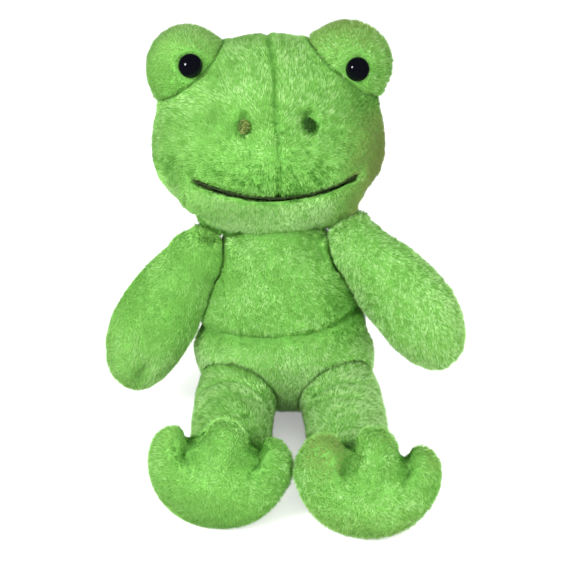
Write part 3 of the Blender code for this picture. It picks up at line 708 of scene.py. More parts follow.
def grow_pile(
    node, skin, name, flow, seed, seams=(), lean=54, density=1.0, shade=0.42, shade_extra=None,
    length_extra=None, keep=None, parting=None, lip_trim=0.45, lining=False, upright=None, without=(),
):
    """Seeded fibre bundles over a skin, combed along a flow, gathered into tufts and trimmed at neighbours."""
    plush = bpy.context.scene.frog_plush
    rng = np.random.default_rng(seed)
    roots, ways, clear, movers = planted(node, skin, rng, density, keep, parting, lining, without)
    count = len(roots)

    # trim: shorter where a neighbour is near, in a seam and along a parting
    gaps, to_other = neighbour_of(roots, movers)
    room = eased(gaps, 0.6 * MM, 3.5 * MM)
    beside = room_around(roots, solids_tree(others(node, without)), 0.8 * MM, 6 * MM)
    parted = parting(roots) if parting else np.zeros(count)
    beside = np.maximum(beside, parted)
    ruffle = ruffled(roots)
    sewn = np.clip(drawn_in(roots, seams) / (3 * MM), 0.0, 1.0) ** 2
    lengths = plush.pile_length * (0.72 + 0.28 * room) * (0.62 + 0.38 * beside)
    lengths = lengths * rng.uniform(0.8, 1.2, count) * (1 - 0.50 * sewn)
    if length_extra is not None:
        lengths *= length_extra(roots)
    lengths *= (1 - lip_trim * parted) * np.clip(1 + 0.35 * parted * rng.normal(size=count), 0.5, 1.5)
    # where a neighbour stands a little way off, the pile fluffs out towards it
    fluffed = neck_gap(roots) * eased(gaps, 1.0 * MM, 3 * MM) * (1 - eased(gaps, 14 * MM, 18 * MM))
    lengths = np.maximum(lengths, fluffed * rng.uniform(0.6, 1.0, count) * np.minimum(gaps, 7 * MM))
    lengths = np.minimum(lengths, clear * 1.25)

    # comb: along the flow, swirled by handling, and more loosely where the nap is ruffled
    across = flow(roots, ways)
    swirl = np.stack([waves(roots, 24 * MM, seed + step) for step in (1, 2, 3)], 1)
    fuzz = rng.normal(size=(count, 3))
    across = unit(across) + 0.50 * swirl + (0.10 + 0.50 * ruffle[:, None]) * fuzz
    across -= ways * (across * ways).sum(1, keepdims=True)
    across = unit(across)
    angle = lean + 12 * (1 - ruffle) + (4 + 10 * ruffle) * rng.normal(size=count)
    if upright is not None:
        angle *= 1 - 0.55 * upright(roots)
    angle = np.radians(angle * (0.52 + 0.48 * beside))[:, None]
    angle = np.clip(angle, 0.05, 1.40)
    heading = unit(ways * np.cos(angle) + across * np.sin(angle) + 0.5 * fluffed[:, None] * to_other)
    tips, tuft, tuft_count = gathered(roots, roots + heading * lengths[:, None], ruffle, rng)
    roots = roots - ways * 0.5 * MM
    for places in (roots, tips):
        places[:, 2] = np.maximum(places[:, 2], 0.2 * MM)

    # tone: painted shade beside neighbours, in the neck gaps and in seams, varied over patches, bundles and tufts
    tone = shade - 0.20 * fluffed - 0.18 * (1 - beside) - 0.22 * (1 - room)
    tone += 0.12 * waves(roots, 20 * MM, seed + 9) + 0.08 * waves(roots, 48 * MM, seed + 10)
    tone += (0.13 + 0.15 * ruffle) * rng.normal(size=count)
    curl = rng.normal(size=tuft_count)[tuft]
    tone += (0.05 + 0.26 * ruffle) * np.where(curl > 0, 0.55 * curl, 1.2 * curl)
    # painted shade: bundles in seams and creases fall towards the crease green
    tone = in_greens(np.clip(tone, 0.17, PALEST) - 0.75 * sewn)
    if shade_extra is not None:
        tone = shade_extra(roots, tone)
    widths = plush.pile_width * rng.uniform(0.7, 1.2, count) * (1 + 0.5 * fluffed)
    mesh = bundle_mesh(name, roots, tips, widths, tone)
    mesh.materials.append(finish("pile"))
    item = bpy.data.objects.new(name, mesh)
    bpy.context.collection.objects.link(item)
    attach(item, BODY_OF[node])
    return item


def towards(way):
    """A flow that runs one way."""
    way = np.array(way, float)
    return lambda places, ways: np.broadcast_to(way, places.shape)


def away_from(point, tail=(0.0, 0.0, 0.0)):
    """A flow that runs out from a point, with a drift."""
    point = np.array(point, float)
    tail = np.array(tail, float)
    return lambda places, ways: unit(places - point) + tail


def in_head(places):
    """Places in the head's own axes."""
    turn = np.array(HEAD_TURNED)
    return (places - np.array(HEAD_CENTRE)) @ turn


def in_torso(places):
    """Places in the torso's own axes."""
    turn = np.array(Matrix.Rotation(-TORSO_LEAN, 3, "X"))
    return (places - np.array(TORSO_BASE)) @ turn


def in_foot(places, centre):
    """Places in a foot's own axes, from its middle."""
    return (places - np.array(centre)) @ np.array(FOOT_TURNED)


def crown_seam(places):
    """The seam down the middle of the head, from the nape over the crown to the mouth."""
    local = in_head(places)
    above = eased(local[:, 2], -45 * MM, -30 * MM)
    stray = local[:, 0] + 0.8 * MM * np.sin(local[:, 2] / (11 * MM))
    ahead = 0.40 + 0.60 * eased(-local[:, 1], 5 * MM, 35 * MM)
    return above * ahead * fold(stray, 1.5 * MM, 3.4 * MM, 3.8 * MM)


def waist_seam(places):
    """The fold where the chest hangs over the belly, rising a little towards the frog's left."""
    local = in_torso(places)
    level = 76.7 * MM + 8.5 * MM * (np.maximum(local[:, 0] + 20 * MM, 0.0) / (60 * MM)) ** 2
    front = eased(-local[:, 1], -25 * MM, 10 * MM)
    off = local[:, 2] - level
    off = np.where(off > 0, off * 1.7, off * 0.75)
    uneven = (0.20 + 0.80 * front) * (0.75 + 0.25 * waves(places, 28 * MM, 3))
    return uneven * fold(off, 2.3 * MM, 8 * MM, 6.5 * MM)


def back_seam(places):
    """The closing seam down the middle of the back."""
    local = in_torso(places)
    sway = -0.0095 * local[:, 2] / 0.154
    behind = eased(local[:, 1], 10 * MM, 30 * MM)
    return behind * fold(local[:, 0] - sway, 1.6 * MM, 5 * MM, 2.8 * MM)


def smile_off(places):
    """How far above the mouth's parting a place is, and how much of the mouth is still there."""
    local = in_head(places)
    level = -0.0375 + 0.0145 * (local[:, 0] / 0.061) ** 2
    there = 1 - eased(np.abs(local[:, 0]), 52 * MM, 66 * MM)
    return local[:, 2] - level, there * (local[:, 1] < 0)


def mouth_parting(places):
    """1 along the mouth's parting, fading to 0 a few millimetres off it."""
    above, there = smile_off(places)
    return there * np.exp(-((above / (5 * MM)) ** 2))


def lip_roll(places):
    """The chin's upper edge rolls in below the mouth's parting."""
    above, there = smile_off(places)
    return there * 3.2 * MM * np.exp(-((above / (3.2 * MM)) ** 2))


def upper_lip_roll(places):
    """The upper lip rolls in a little above the parting."""
    above, there = smile_off(places)
    return there * 1.8 * MM * np.exp(-((above / (2.6 * MM)) ** 2))


# The creases between the toes of each foot, from the rim down the sole, in millimetres across and up
TOE_LINES = {
    "left": (
        ((-17, 44), (-19, 35), (-22.4, 30), (-24.5, 25), (-25.3, 20), (-25, 11)),
        ((24, 44), (23, 33), (22.3, 25), (21.8, 14), (21, 8)),
    ),
    "right": (
        ((-22, 44), (-20, 33), (-16.7, 27), (-18, 21), (-21.2, 14), (-24, 6)),
        ((24, 44), (22.5, 33), (21.4, 29), (21.7, 23), (22.6, 15), (23.5, 8)),
    ),
}


def toe_creases(centre, label):
    """The two creases between a foot's toes: deep at the rim and fading down the sole."""
    def depth(places):
        flat = in_foot(places, centre)[:, (0, 2)] / MM
        total = np.zeros(len(places))
        for line in TOE_LINES[label]:
            off, along = line_off(flat, line)
            fading = 1 - eased(along, 0.62, 1.0)
            total += fading * fold(off * MM, 3.2 * MM, 7.0 * MM, 10.0 * MM)
        return total
    return depth


def nostril_frame(label):
    """A nostril's middle, its axes across, up and out, and half its size along each."""
    places = node_points("nostril_" + label)
    middle = places.mean(0)
    _, _, axes = np.linalg.svd(places - middle)
    out = axes[2] if np.dot(axes[2], middle - np.array(HEAD_CENTRE)) > 0 else -axes[2]
    tall = axes[0] if axes[0][2] > 0 else -axes[0]
    wide = np.cross(tall, out)
    spans = [np.abs((places - middle) @ axis).max() for axis in (wide, tall, out)]
    return middle, (wide, tall, out), spans


def nostril_off(places):
    """How far places are from the nearer nostril in its own radii, and the way out from its middle."""
    nearest = np.full(len(places), 99.0)
    outward = np.zeros((len(places), 3))
    for label in ("left", "right"):
        middle, (wide, tall, out), spans = nostril_frame(label)
        offset = places - middle
        across, up, ahead = offset @ wide, offset @ tall, offset @ out
        radii = np.hypot(across / spans[0], up / spans[1])
        radii = np.where(np.abs(ahead) < 12 * MM, radii, 99.0)
        nearer = radii < nearest
        outward[nearer] = (across[:, None] * wide + up[:, None] * tall)[nearer]
        nearest = np.minimum(nearest, radii)
    return nearest, unit(outward)


def nostril_tucks(places):
    """The snout is drawn in around each nostril, with a short tuck running up from it."""
    radii, _ = nostril_off(places)
    # the ring also paints the pile round each nostril darker, as shade
    total = 2.0 * MM * np.exp(-(((radii - 1.0) / 0.38) ** 2))
    for label in ("left", "right"):
        middle, (wide, tall, out), spans = nostril_frame(label)
        offset = places - middle
        flat = np.stack([offset @ wide, offset @ tall], 1) / MM
        top = spans[1] / MM
        off, along = line_off(flat, ((0.5, 0.7 * top), (0.2, top + 4), (-0.6, top + 9)))
        near = np.abs(offset @ out) < 14 * MM
        fading = near * (1 - eased(along, 0.4, 1.0))
        total = np.maximum(total, fading * fold(off * MM, 2.2 * MM, 4.5 * MM, 5.0 * MM))
    return total


class FROG_OT_torso(bpy.types.Operator):
    """Make the stuffed torso, with its waist fold and closing seam, and its pile"""

    bl_idname = "frog.torso"
    bl_label = "Torso"

    def execute(self, context):
        skin = stuffed_skin("torso", "torso_skin", seams=(waist_seam, back_seam))

        def paler_belly(places, tone):
            local = in_torso(places)
            paler = 0.44 * (1 - eased(local[:, 2], 48 * MM, 82 * MM))
            # painted shade: the chest darkens towards the frog's left, beside the arm
            deeper = 0.20 * eased(local[:, 0], 15 * MM, 42 * MM)
            return in_greens(tone + paler - deeper)

        def flow(places, ways):
            local = in_torso(places)
            down = np.tile([0.0, -0.15, -1.0], (len(places), 1))
            parted = np.exp(-(((local[:, 2] - 0.078) / (8 * MM)) ** 2))
            down[:, 2] += 0.9 * parted * (local[:, 2] > 0.075)
            return down

        def front(places, ways):
            return in_torso(places)[:, 1] < 4 * MM

        def back(places, ways):
            return in_torso(places)[:, 1] >= 4 * MM

        for half, keep, seed in (("front", front, 11), ("back", back, 12)):
            grow_pile(
                "torso", skin, "torso_pile_" + half, flow, seed, seams=(waist_seam, back_seam), shade=0.46,
                keep=keep, shade_extra=paler_belly,
            )
        return {"FINISHED"}


def head_flow(places, ways):
    """Out from the snout and away from the middle seam, and down over the lip."""
    local = in_head(places)
    out = unit(local - np.array([0.0, -0.08, -0.01]))
    side = np.sign(local[:, 0]) * np.exp(-((local[:, 0] / (4 * MM)) ** 2))
    out[:, 0] += 0.6 * side
    lip = eased(-local[:, 2], 22 * MM, 34 * MM) * eased(-local[:, 1], 10 * MM, 40 * MM)
    out[:, 2] -= 1.6 * lip
    radii, outward = nostril_off(places)
    return out @ np.array(HEAD_TURNED).T - 0.9 * np.exp(-((radii - 1) / 0.5) ** 2)[:, None] * outward


class FROG_OT_head(bpy.types.Operator):
    """Make the stuffed head, with its middle seam, and its pile"""

    bl_idname = "frog.head"
    bl_label = "Head"

    def execute(self, context):
        seams = (crown_seam, upper_lip_roll, nostril_tucks)
        skin = stuffed_skin("head", "head_skin", seams=seams, without=("nostril_left", "nostril_right"))

        def front(places, ways):
            return (in_head(places)[:, 1] < 0) & (nostril_off(places)[0] > 0.74)

        def back(places, ways):
            return in_head(places)[:, 1] >= 0

        def trimmed(places):
            return 0.62 + 0.38 * eased(nostril_off(places)[0], 1.0, 1.8)

        for half, keep, seed in (("front", front, 21), ("back", back, 22)):
            grow_pile(
                "head", skin, "head_pile_" + half, head_flow, seed, seams=seams, shade=0.42, keep=keep,
                length_extra=trimmed, shade_extra=snout_tones, parting=mouth_parting, lip_trim=0.10, density=0.90,
            )
        return {"FINISHED"}


def snout_tones(places, tone):
    """The forehead is painted paler towards its top as light, the face is darker below, the jowls are paler towards
    the chin, and the frog's left cheek has painted shade.
    """
    local = in_head(places)
    height = local[:, 2]
    # painted light: paler up the forehead; and darker below
    tone = tone - 0.03 + 0.12 * eased(height, 5 * MM, 35 * MM) - 0.12 * eased(-height, -5 * MM, 20 * MM)
    jowl = eased(-height, 12 * MM, 38 * MM) * eased(np.abs(local[:, 0]), 45 * MM, 68 * MM)
    return painted_cheek_shade(places, in_greens(tone + 0.30 * jowl))


def matted(tone, share, seed):
    """Bundles browned: more of them, and browner, towards a patch's middle; by handling on toes, mound tops and
    hands, and as painted shade on the cheek and foot bottoms.
    """
    rng = np.random.default_rng(seed)
    picked = rng.random(len(tone)) < 2.2 * share
    brown = BROWNED + (1 - BROWNED) * np.clip(0.9 * share + rng.uniform(0.05, 0.40, len(tone)), 0, 1)
    return np.where(picked, brown, tone)


def chin_tones(places, tone):
    """Painted shade: the pile is darkened to the darkest tone where the chin rolls into the mouth, with a ragged
    edge.
    """
    above, there = smile_off(places)
    # painted shade in the mouth's parting, with a ragged edge
    edge = (3.0 + 1.0 * waves(places, 3.5 * MM, 33)) * MM
    dark = there * (1 - eased(-above, edge, edge + 1.2 * MM))
    side = eased(np.abs(in_head(places)[:, 0]), 38 * MM, 60 * MM)
    return painted_cheek_shade(places, in_greens(tone - 0.16 * side)) * (1 - dark) + DARKEST * dark


def painted_cheek_shade(places, tone):
    """Painted shade on the frog's left cheek: its pile is darker there, and some bundles are browned as part of the
    shade.
    """
    local = in_head(places)
    # painted shade: browned bundles and darker pile towards the frog's left
    share = 0.80 * eased(local[:, 0], 30 * MM, 78 * MM) * eased(-local[:, 2], -40 * MM, 10 * MM)
    tone = np.maximum(tone - 0.27 * eased(local[:, 0], 35 * MM, 75 * MM), DARKEST)
    return matted(tone, share, 8)


class FROG_OT_chin(bpy.types.Operator):
    """Make the stuffed chin and its downward pile"""

    bl_idname = "frog.chin"
    bl_label = "Chin"

    def execute(self, context):
        skin = stuffed_skin("chin", "chin_skin", seams=(lip_roll,))

        def flow(places, ways):
            local = in_head(places)
            down = np.tile([0.0, 0.1, -1.0], (len(places), 1))
            down[:, 0] = 1.3 * np.sign(local[:, 0]) * eased(np.abs(local[:, 0]), 42 * MM, 60 * MM)
            return down

        grow_pile(
            "chin", skin, "chin_pile", flow, 31, seams=(lip_roll,), shade=0.82, shade_extra=chin_tones,
            keep=lambda places, ways: smile_off(places)[0] < -0.4 * MM, parting=mouth_parting, lining=True,
        )
        return {"FINISHED"}


def eye_axis(label):
    """The middle of an eye's flat back and the way that it looks."""
    eye = node_points("eye_" + label)
    washer = node_points("eye_washer_" + label)
    way = Vector(eye.mean(0) - washer.mean(0)).normalized()
    middle = Vector(washer.mean(0))
    reaches = (eye - np.array(middle)) @ np.array(way)
    off = np.linalg.norm(eye - np.array(middle) - np.outer(reaches, way), axis=1)
    radius = off.max()
    back = reaches[off > 0.95 * radius].min()
    return middle + way * back, way, radius, reaches.max() - back


class FROG_OT_eye_mounds(bpy.types.Operator):
    """Make the two stuffed mounds that carry the eyes, and their pile"""

    bl_idname = "frog.eye_mounds"
    bl_label = "Eye mounds"

    def execute(self, context):
        for label, seed, shade, matt in (("left", 41, 0.06, 0.22), ("right", 42, 0.46, 0.40)):
            back, way, radius, _ = eye_axis(label)
            node = "eye_mound_" + label
            plug = (back, way, radius + 0.5 * MM)
            skin = stuffed_skin(node, node + "_skin", plug=plug, without=("eye_washer_" + label,))

            def near_eye(places, back=back, way=way, radius=radius):
                offset = places - np.array(back)
                ahead = offset @ np.array(way)
                off = np.linalg.norm(offset - np.outer(ahead, way), axis=1)
                return off / radius, ahead > -20 * MM

            def shorter(places, near_eye=near_eye):
                off, ahead = near_eye(places)
                return np.where(ahead, 0.85 + 0.15 * eased(off, 1.1, 1.8), 1.0)

            def raised(places, near_eye=near_eye):
                off, ahead = near_eye(places)
                return ahead * (1 - eased(off, 1.10, 1.45))

            def keep(places, ways, near_eye=near_eye):
                off, ahead = near_eye(places)
                return (off > 0.98) | ~ahead

            outward = away_from(back - way * 0.2 * radius, tail=(0.0, 0.2, -0.1))

            def flow(places, ways, outward=outward, raised=raised):
                return outward(places, ways) * (1 - 1.6 * raised(places))[:, None]

            top = node_points(node)[:, 2].max()

            def painted_light_top(places, tone, top=top, matt=matt):
                # painted light: the pile is paler towards the mound's top, where more bundles are browned by handling
                high = eased(places[:, 2], top - 30 * MM, top - 4 * MM)
                return matted(in_greens(tone + 0.48 * high), matt * (0.25 + 0.75 * high), 9)

            grow_pile(
                node, skin, node + "_pile", flow, seed, shade=shade, length_extra=shorter, keep=keep,
                upright=raised, shade_extra=painted_light_top, without=("eye_" + label, "eye_washer_" + label),
            )
        return {"FINISHED"}


def paw_tuck(places):
    """A short tuck across the frog's right paw, above its rounded end."""
    tuck = ((-105, -58.5, 68), (-108, -58.8, 63.5), (-110.8, -58.6, 59.5), (-113, -57.7, 53), (-115.5, -56, 46.5))
    off, along = line_off(places / MM, tuck)
    total = np.sin(math.pi * (0.15 + 0.7 * along)) * fold(off * MM, 3.2 * MM, 6.0 * MM, 8.5 * MM)
    off, along = line_off(places / MM, ((-106, -58.5, 67), (-98, -56, 68.5), (-90, -52, 70)))
    return np.maximum(total, (1 - along) * fold(off * MM, 1.8 * MM, 4.0 * MM, 5.0 * MM))


def limb_way(joint_name, node):
    """From a limb's joint to its far end."""
    joint = next(item for item in frame["joints"] if item["name"] == joint_name)
    start = np.array(joint["pos_m"])
    places = node_points(node)
    far = places[np.argsort(np.linalg.norm(places - start, axis=1))[-40:]].mean(0)
    return start, far


class FROG_OT_arms(bpy.types.Operator):
    """Make the two stuffed arms and the pile that runs to their hands"""

    bl_idname = "frog.arms"
    bl_label = "Arms"

    def execute(self, context):
        for label, seed, shade in (("left", 51, 0.34), ("right", 52, 0.56)):
            node = "arm_" + label
            start, far = limb_way(node + "_lift", node)
            along = (far - start) / np.linalg.norm(far - start)
            seams = (paw_tuck,) if label == "left" else ()
            skin = stuffed_skin(node, node + "_skin", seams=seams)

            def worn_hand(places, tone, start=start, along=along):
                reach = eased((places - start) @ along, 45 * MM, 100 * MM)
                return matted(in_greens(tone + 0.28 * reach), 0.12 * reach, 10)

            flow = towards(along + np.array([0, -0.3, -0.3]))
            grow_pile(
                node, skin, node + "_pile", flow, seed, seams=seams, shade=shade, shade_extra=worn_hand
            )
        return {"FINISHED"}


def leg_wrinkles(places):
    """Soft wrinkles across the top of each leg, where it is bent up from the seat."""
    total = np.zeros(len(places))
    aside = np.abs(places[:, 0]) - 41 * MM
    for level, slope, depth in ((-73, 0.30, 2.2), (-90, -0.20, 1.8), (-108, 0.15, 1.4), (-127, -0.10, 1.8)):
        off = places[:, 1] - level * MM - slope * aside + 1.8 * MM * np.sin(places[:, 0] / (9 * MM) + level)
        total = np.maximum(total, fold(off, 1.5 * MM, 4 * MM, depth * MM))
    return total * eased(places[:, 2], 20 * MM, 45 * MM)


class FROG_OT_legs(bpy.types.Operator):
    """Make the two stuffed legs and the pile that lies outwards over them"""

    bl_idname = "frog.legs"
    bl_label = "Legs"

    def execute(self, context):
        for label, seed, side, shade in (("left", 61, -1.0, 0.56), ("right", 62, 1.0, 0.88)):
            node = "leg_" + label
            skin = stuffed_skin(node, node + "_skin", seams=(leg_wrinkles,))
            grow_pile(
                node, skin, node + "_pile", towards((0.8 * side, 0.5, -0.2)), seed, seams=(leg_wrinkles,), shade=shade
            )
        return {"FINISHED"}


# Matted olive patches of the toes: middle in the foot's own axes, reach in millimetres, and share at the middle
MATTED_TOES = {
    "left": (((-34, -6, 28), 9, 0.25), ((2, -8, 38), 9, 0.15)),
    "right": (((-32, -9, 25), 16, 0.75), ((36, -4, 28), 12, 0.35), ((4, -6, 38), 9, 0.25)),
}


class FROG_OT_feet(bpy.types.Operator):
    """Make the two stuffed webbed feet, their toe creases, and the pile that radiates over their soles"""

    bl_idname = "frog.feet"
    bl_label = "Feet"

    def execute(self, context):
        for label, seed, low_shade_share in (("left", 71, 0.12), ("right", 72, 0.26)):
            node = "foot_" + label
            low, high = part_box(node)
            centre = (low + high) / 2
            seams = (toe_creases(centre, label),)
            skin = stuffed_skin(node, node + "_skin", seams=seams)

            def longer(places, centre=centre):
                return 1.0 + 0.15 * eased(in_foot(places, centre)[:, 2], 22 * MM, 42 * MM)

            def browned(places, tone, centre=centre, label=label, low_shade_share=low_shade_share):
                local = in_foot(places, centre)
                share = np.zeros(len(tone))
                for spot, reach, most in MATTED_TOES[label]:
                    share += most * np.exp(-(np.linalg.norm(local - np.array(spot) * MM, axis=1) / (reach * MM)) ** 2)
                # painted shade: darker pile and more browned bundles towards the bottom of the foot
                share += low_shade_share * eased(-local[:, 2], -10 * MM, 25 * MM)
                tone = np.maximum(tone - 0.16 * eased(-local[:, 2], 5 * MM, 35 * MM), DARKEST)
                return matted(tone, share, 7)

            flow = away_from(centre + Vector((0, 22 * MM, -4 * MM)), tail=(0.0, 0.0, -0.35))
            grow_pile(
                node, skin, node + "_pile", flow, seed, seams=seams, shade=0.32, length_extra=longer,
                shade_extra=browned, without=("leg_" + label,),
            )
        return {"FINISHED"}


class FROG_OT_mouth(bpy.types.Operator):
    """Make the felt strip that shows in the mouth, dark as painted shade"""

    bl_idname = "frog.mouth"
    bl_label = "Mouth"

    def execute(self, context):
        felt = closed_copy("mouth_lining", "mouth_felt")
        make_active(felt)
        bpy.ops.object.mode_set(mode="EDIT")
        bpy.ops.mesh.select_all(action="SELECT")
        bpy.ops.mesh.subdivide(number_cuts=2)
        bpy.ops.object.mode_set(mode="OBJECT")
        places = points_of(felt.data)
        ragged = 0.35 * MM * waves(places, 3 * MM, 81)
        put_points(felt.data, places + normals_of(felt.data) * ragged[:, None])
        bpy.ops.object.shade_smooth()
        felt.data.materials.append(finish("felt"))
        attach(felt, BODY_OF["mouth_lining"])
        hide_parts("mouth_lining")
        return {"FINISHED"}


class FROG_OT_nostrils(bpy.types.Operator):
    """Embroider the two nostrils with rows of short seed stitches"""

    bl_idname = "frog.nostrils"
    bl_label = "Nostrils"

    def execute(self, context):
        # the right nostril's thread is painted shade, and the left's darker second thread paints shade between its
        # stitches
        for label, threads in (("left", ("gold_thread", "olive_thread")), ("right", ("shaded_thread",))):
            self.stitch(context, label, threads)
        return {"FINISHED"}

    def stitch(self, context, label, threads):
        """Rows of stitches that fill an oval a little smaller than the patch, joined into one piece."""
        face = context.scene.frog_face
        node = "nostril_" + label
        middle, (wide, tall, out), spans = nostril_frame(label)
        filled = 0.86
        half_width, half_height, thick = filled * spans[0], filled * spans[1], spans[2]
        turn = Matrix((wide, tall, out)).transposed()
        pieces = []
        count = int(2 * half_height / face.thread_pitch)
        rng = np.random.default_rng(90)
        for step in range(count):
            across = -1 + 2 * (step + 0.5) / count
            reach = half_width * math.sqrt(max(1 - across * across, 0.05))
            parts = max(int(round(2 * reach / face.stitch_length)), 1)
            for part in range(parts):
                half = reach / parts
                start = -reach + half * (2 * part + 1) + (half * 0.5 if step % 2 and parts > 1 else 0.0)
                lift = 0.25 * face.thread_pitch * rng.uniform(-1, 1)
                piece = self.one_stitch(face, half, start, reach, across * half_height, thick, lift)
                piece.data.transform(Matrix.Translation(Vector(middle)) @ turn.to_4x4())
                thread = threads[(step + part + int(rng.integers(2))) % len(threads)]
                piece.data.materials.append(finish(thread))
                pieces.append(piece)
        deselect_all()
        for piece in pieces:
            piece.select_set(True)
        bpy.context.view_layer.objects.active = pieces[0]
        bpy.ops.object.join()
        patch = bpy.context.object
        patch.name = node + "_stitches"
        patch.data.name = patch.name
        bpy.ops.object.shade_smooth()
        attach(patch, BODY_OF[node])
        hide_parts(node)

    def one_stitch(self, face, half, start, reach, up, thick, lift):
        """A short thread that rises out of the pad and dives back in."""
        bpy.ops.mesh.primitive_cylinder_add(
            vertices=8, radius=face.thread_pitch * 0.58, depth=2 * half, end_fill_type="TRIFAN",
            rotation=(0, math.pi / 2, 0),
        )
        piece = bpy.context.object
        bpy.ops.object.transform_apply(location=True, rotation=True, scale=True)
        bm = bmesh.new()
        bm.from_mesh(piece.data)
        lengthwise = [edge for edge in bm.edges if abs((edge.verts[0].co - edge.verts[1].co).x) > half]
        bmesh.ops.subdivide_edges(bm, edges=lengthwise, cuts=5)
        for vertex in bm.verts:
            share = vertex.co.x / half
            ease = math.sqrt(max(1 - share * share, 0.0))
            vertex.co.x += start
            crown = math.sqrt(max(1 - (vertex.co.x / (reach * 1.05)) ** 2, 0.0))
            vertex.co.z = vertex.co.z * (0.55 + 0.45 * ease) + thick * (0.7 * crown + 0.3 * ease - 1.0) + lift
            vertex.co.y += up
        bm.to_mesh(piece.data)
        bm.free()
        return piece


class FROG_OT_eyes(bpy.types.Operator):
    """Turn the two glossy safety eyes and finish their hidden washers"""

    bl_idname = "frog.eyes"
    bl_label = "Safety eyes"

    def execute(self, context):
        for label in ("left", "right"):
            back, way, radius, height = eye_axis(label)
            # the pile round a dome covers its rim, so the part that shows is narrower than the solid
            self.turn(label, back, way, radius * 0.94, height)
            washer = frame["nodes"]["eye_washer_" + label]
            washer.data.materials.clear()
            washer.data.materials.append(finish("polyethylene"))
        return {"FINISHED"}

    def turn(self, label, back, way, radius, height):
        """Spin the dome's and shank's outline about the eye's axis."""
        rim = 1.2 * MM
        shank = 2.4 * MM
        shank_end = -11 * MM
        arc_steps = 14
        outline = [(0.0, height)]
        for step in range(1, arc_steps + 1):
            angle = math.pi / 2 * step / arc_steps
            outline.append((radius * math.sin(angle), rim + (height - rim) * math.cos(angle)))
        outline += [(radius * 0.985, 0.25 * MM), (radius * 0.95, 0.0), (shank, 0.0)]
        outline += [(shank, shank_end + 0.5 * MM), (shank * 0.8, shank_end), (0.0, shank_end)]
        mesh = bpy.data.meshes.new("eye_dome_" + label)
        edges = [(start, start + 1) for start in range(len(outline) - 1)]
        mesh.from_pydata([(off, 0.0, up) for off, up in outline], edges, [])
        item = bpy.data.objects.new("eye_dome_" + label, mesh)
        bpy.context.collection.objects.link(item)
        make_active(item)
        bpy.ops.object.mode_set(mode="EDIT")
        bpy.ops.mesh.select_all(action="SELECT")
        bpy.ops.mesh.spin(steps=48, angle=math.tau, center=(0, 0, 0), axis=(0, 0, 1))
        bpy.ops.mesh.select_all(action="SELECT")
        bpy.ops.mesh.remove_doubles(threshold=0.01 * MM)
        bpy.ops.mesh.normals_make_consistent(inside=False)
        bpy.ops.object.mode_set(mode="OBJECT")
        turn = way.to_track_quat("Z", "Y").to_matrix().to_4x4()
        item.data.transform(Matrix.Translation(back) @ turn)
        make_active(item)
        bpy.ops.object.shade_smooth_by_angle(angle=math.radians(40))
        item.data.materials.append(finish("acrylic"))
        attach(item, BODY_OF["eye_" + label])
        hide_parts("eye_" + label)


def point_at(item, target):
    item.rotation_euler = (Vector(target) - item.location).to_track_quat("-Z", "Y").to_euler()


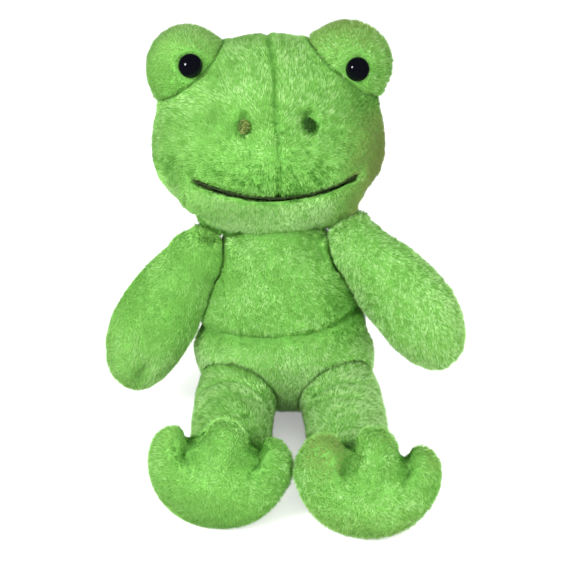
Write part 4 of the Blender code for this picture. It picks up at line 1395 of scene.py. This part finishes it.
class FROG_OT_stage(bpy.types.Operator):
    """Lay the floor, light it softly and set the camera"""

    bl_idname = "frog.stage"
    bl_label = "Stage"

    def execute(self, context):
        stage = context.scene.frog_stage
        self.floor(stage)
        self.lights(stage)
        self.room(context, stage)
        self.camera(context, stage)
        context.scene.view_settings.view_transform = "Standard"
        return {"FINISHED"}

    def floor(self, stage):
        deselect_all()
        bpy.ops.mesh.primitive_plane_add(size=8, location=(0, 0, 0))
        item = bpy.context.object
        item.name = "floor"
        # matte painted board: even, with a breath of roller mottle
        material, tree = new_material("matte_painted_board")
        mottle = grain(tree, "ShaderNodeTexNoise", 60 * MM, {"Detail": 2.0})
        colour = shaded(tree, mottle.outputs["Fac"], stage.floor_white, 0.985, 0.3, 0.7)
        paint = add_node(tree, "ShaderNodeBsdfDiffuse", {"Color": colour})
        path = add_node(tree, "ShaderNodeLightPath")
        lift = add_node(
            tree, "ShaderNodeMath", {0: path.outputs["Is Camera Ray"], 1: 0.30}, operation="MULTIPLY"
        )
        glow = add_node(tree, "ShaderNodeEmission", {"Strength": lift.outputs[0]})
        total = add_node(tree, "ShaderNodeAddShader", {0: paint.outputs[0], 1: glow.outputs[0]})
        # what polished plastic mirrors is a dimmer floor
        shaded_floor = add_node(tree, "ShaderNodeBsdfDiffuse", {"Color": (0.04, 0.04, 0.04, 1.0)})
        mirrored = add_node(
            tree, "ShaderNodeMixShader",
            {0: path.outputs["Is Glossy Ray"], 1: total.outputs[0], 2: shaded_floor.outputs[0]},
        )
        close_material(tree, mirrored)
        item.data.materials.append(material)

    def lights(self, stage):
        target = (0.0, -0.04, 0.14)
        for name, place, size, power in (
            ("key_softbox", (-0.75, -1.15, 0.80), 0.80, stage.key_power),
            ("fill_softbox", (0.45, -1.30, 0.45), 1.00, stage.fill_power),
            ("top_softbox", (0.25, -0.35, 1.5), 1.4, stage.top_power),
            ("catch_light", (-0.90, -1.02, 1.02), 0.34, stage.spark_power),
        ):
            lamp = bpy.data.lights.new(name, "AREA")
            lamp.shape = "SQUARE"
            lamp.size = size
            lamp.energy = power
            item = bpy.data.objects.new(name, lamp)
            bpy.context.collection.objects.link(item)
            item.location = place
            item.visible_glossy = name == "catch_light"
            point_at(item, target)

    def room(self, context, stage):
        world = bpy.data.worlds.new("white_room")
        world.use_nodes = True
        tree = world.node_tree
        tree.nodes.clear()
        path = add_node(tree, "ShaderNodeLightPath")
        first = add_node(
            tree, "ShaderNodeMath", {0: path.outputs["Is Camera Ray"], 1: path.outputs["Is Transmission Ray"]},
            operation="MAXIMUM",
        )
        # what polished plastic mirrors is a dimmer room
        dimmed = add_node(
            tree, "ShaderNodeMapRange",
            {"Value": path.outputs["Is Glossy Ray"], "To Min": stage.sky, "To Max": 0.05 * stage.sky},
        )
        strength = add_node(
            tree, "ShaderNodeMapRange",
            {"Value": first.outputs[0], "To Min": dimmed.outputs["Result"], "To Max": 1.0},
        )
        light = add_node(
            tree, "ShaderNodeBackground", {"Color": (1, 1, 1, 1), "Strength": strength.outputs["Result"]}
        )
        add_node(tree, "ShaderNodeOutputWorld", {"Surface": light.outputs[0]})
        context.scene.world = world

    def camera(self, context, stage):
        up = Vector((0, math.sin(stage.elevation), math.cos(stage.elevation)))
        ahead = Vector((0, math.cos(stage.elevation), -math.sin(stage.elevation)))
        spine = Vector((0, math.sin(TORSO_LEAN), math.cos(TORSO_LEAN)))
        target = Vector((0.0015, TORSO_BASE.y, 0)) + spine * 0.110 - up * 0.004
        data = bpy.data.cameras.new("camera")
        data.lens = stage.lens
        data.sensor_width = 36
        item = bpy.data.objects.new("camera", data)
        bpy.context.collection.objects.link(item)
        item.location = target - ahead * stage.distance
        point_at(item, target)
        context.scene.camera = item


class FROG_PT_panel(bpy.types.Panel):
    """Lists the frog's pieces and its stage"""

    bl_label = "Plush Frog"
    bl_idname = "FROG_PT_panel"
    bl_space_type = "VIEW_3D"
    bl_region_type = "UI"
    bl_category = "Plush Frog"

    def draw(self, context):
        for operator in PIECES:
            self.layout.operator(operator.bl_idname)
        for settings in (context.scene.frog_plush, context.scene.frog_face, context.scene.frog_stage):
            for name in settings.__annotations__:
                self.layout.prop(settings, name)


PIECES = (
    FROG_OT_torso,
    FROG_OT_head,
    FROG_OT_chin,
    FROG_OT_eye_mounds,
    FROG_OT_arms,
    FROG_OT_legs,
    FROG_OT_feet,
    FROG_OT_mouth,
    FROG_OT_nostrils,
    FROG_OT_eyes,
    FROG_OT_stage,
)
SETTINGS = {"frog_plush": FrogPlushSettings, "frog_face": FrogFaceSettings, "frog_stage": FrogStageSettings}


def register():
    for kind in (*SETTINGS.values(), *PIECES, FROG_PT_panel):
        bpy.utils.register_class(kind)
    for name, kind in SETTINGS.items():
        setattr(bpy.types.Scene, name, PointerProperty(type=kind))


def unregister():
    for name in SETTINGS:
        delattr(bpy.types.Scene, name)
    for kind in (FROG_PT_panel, *reversed(PIECES), *SETTINGS.values()):
        bpy.utils.unregister_class(kind)


def main():
    register()
    for operator in PIECES:
        getattr(bpy.ops.frog, operator.bl_idname.split(".")[1])()


if __name__ == "__main__":
    main()
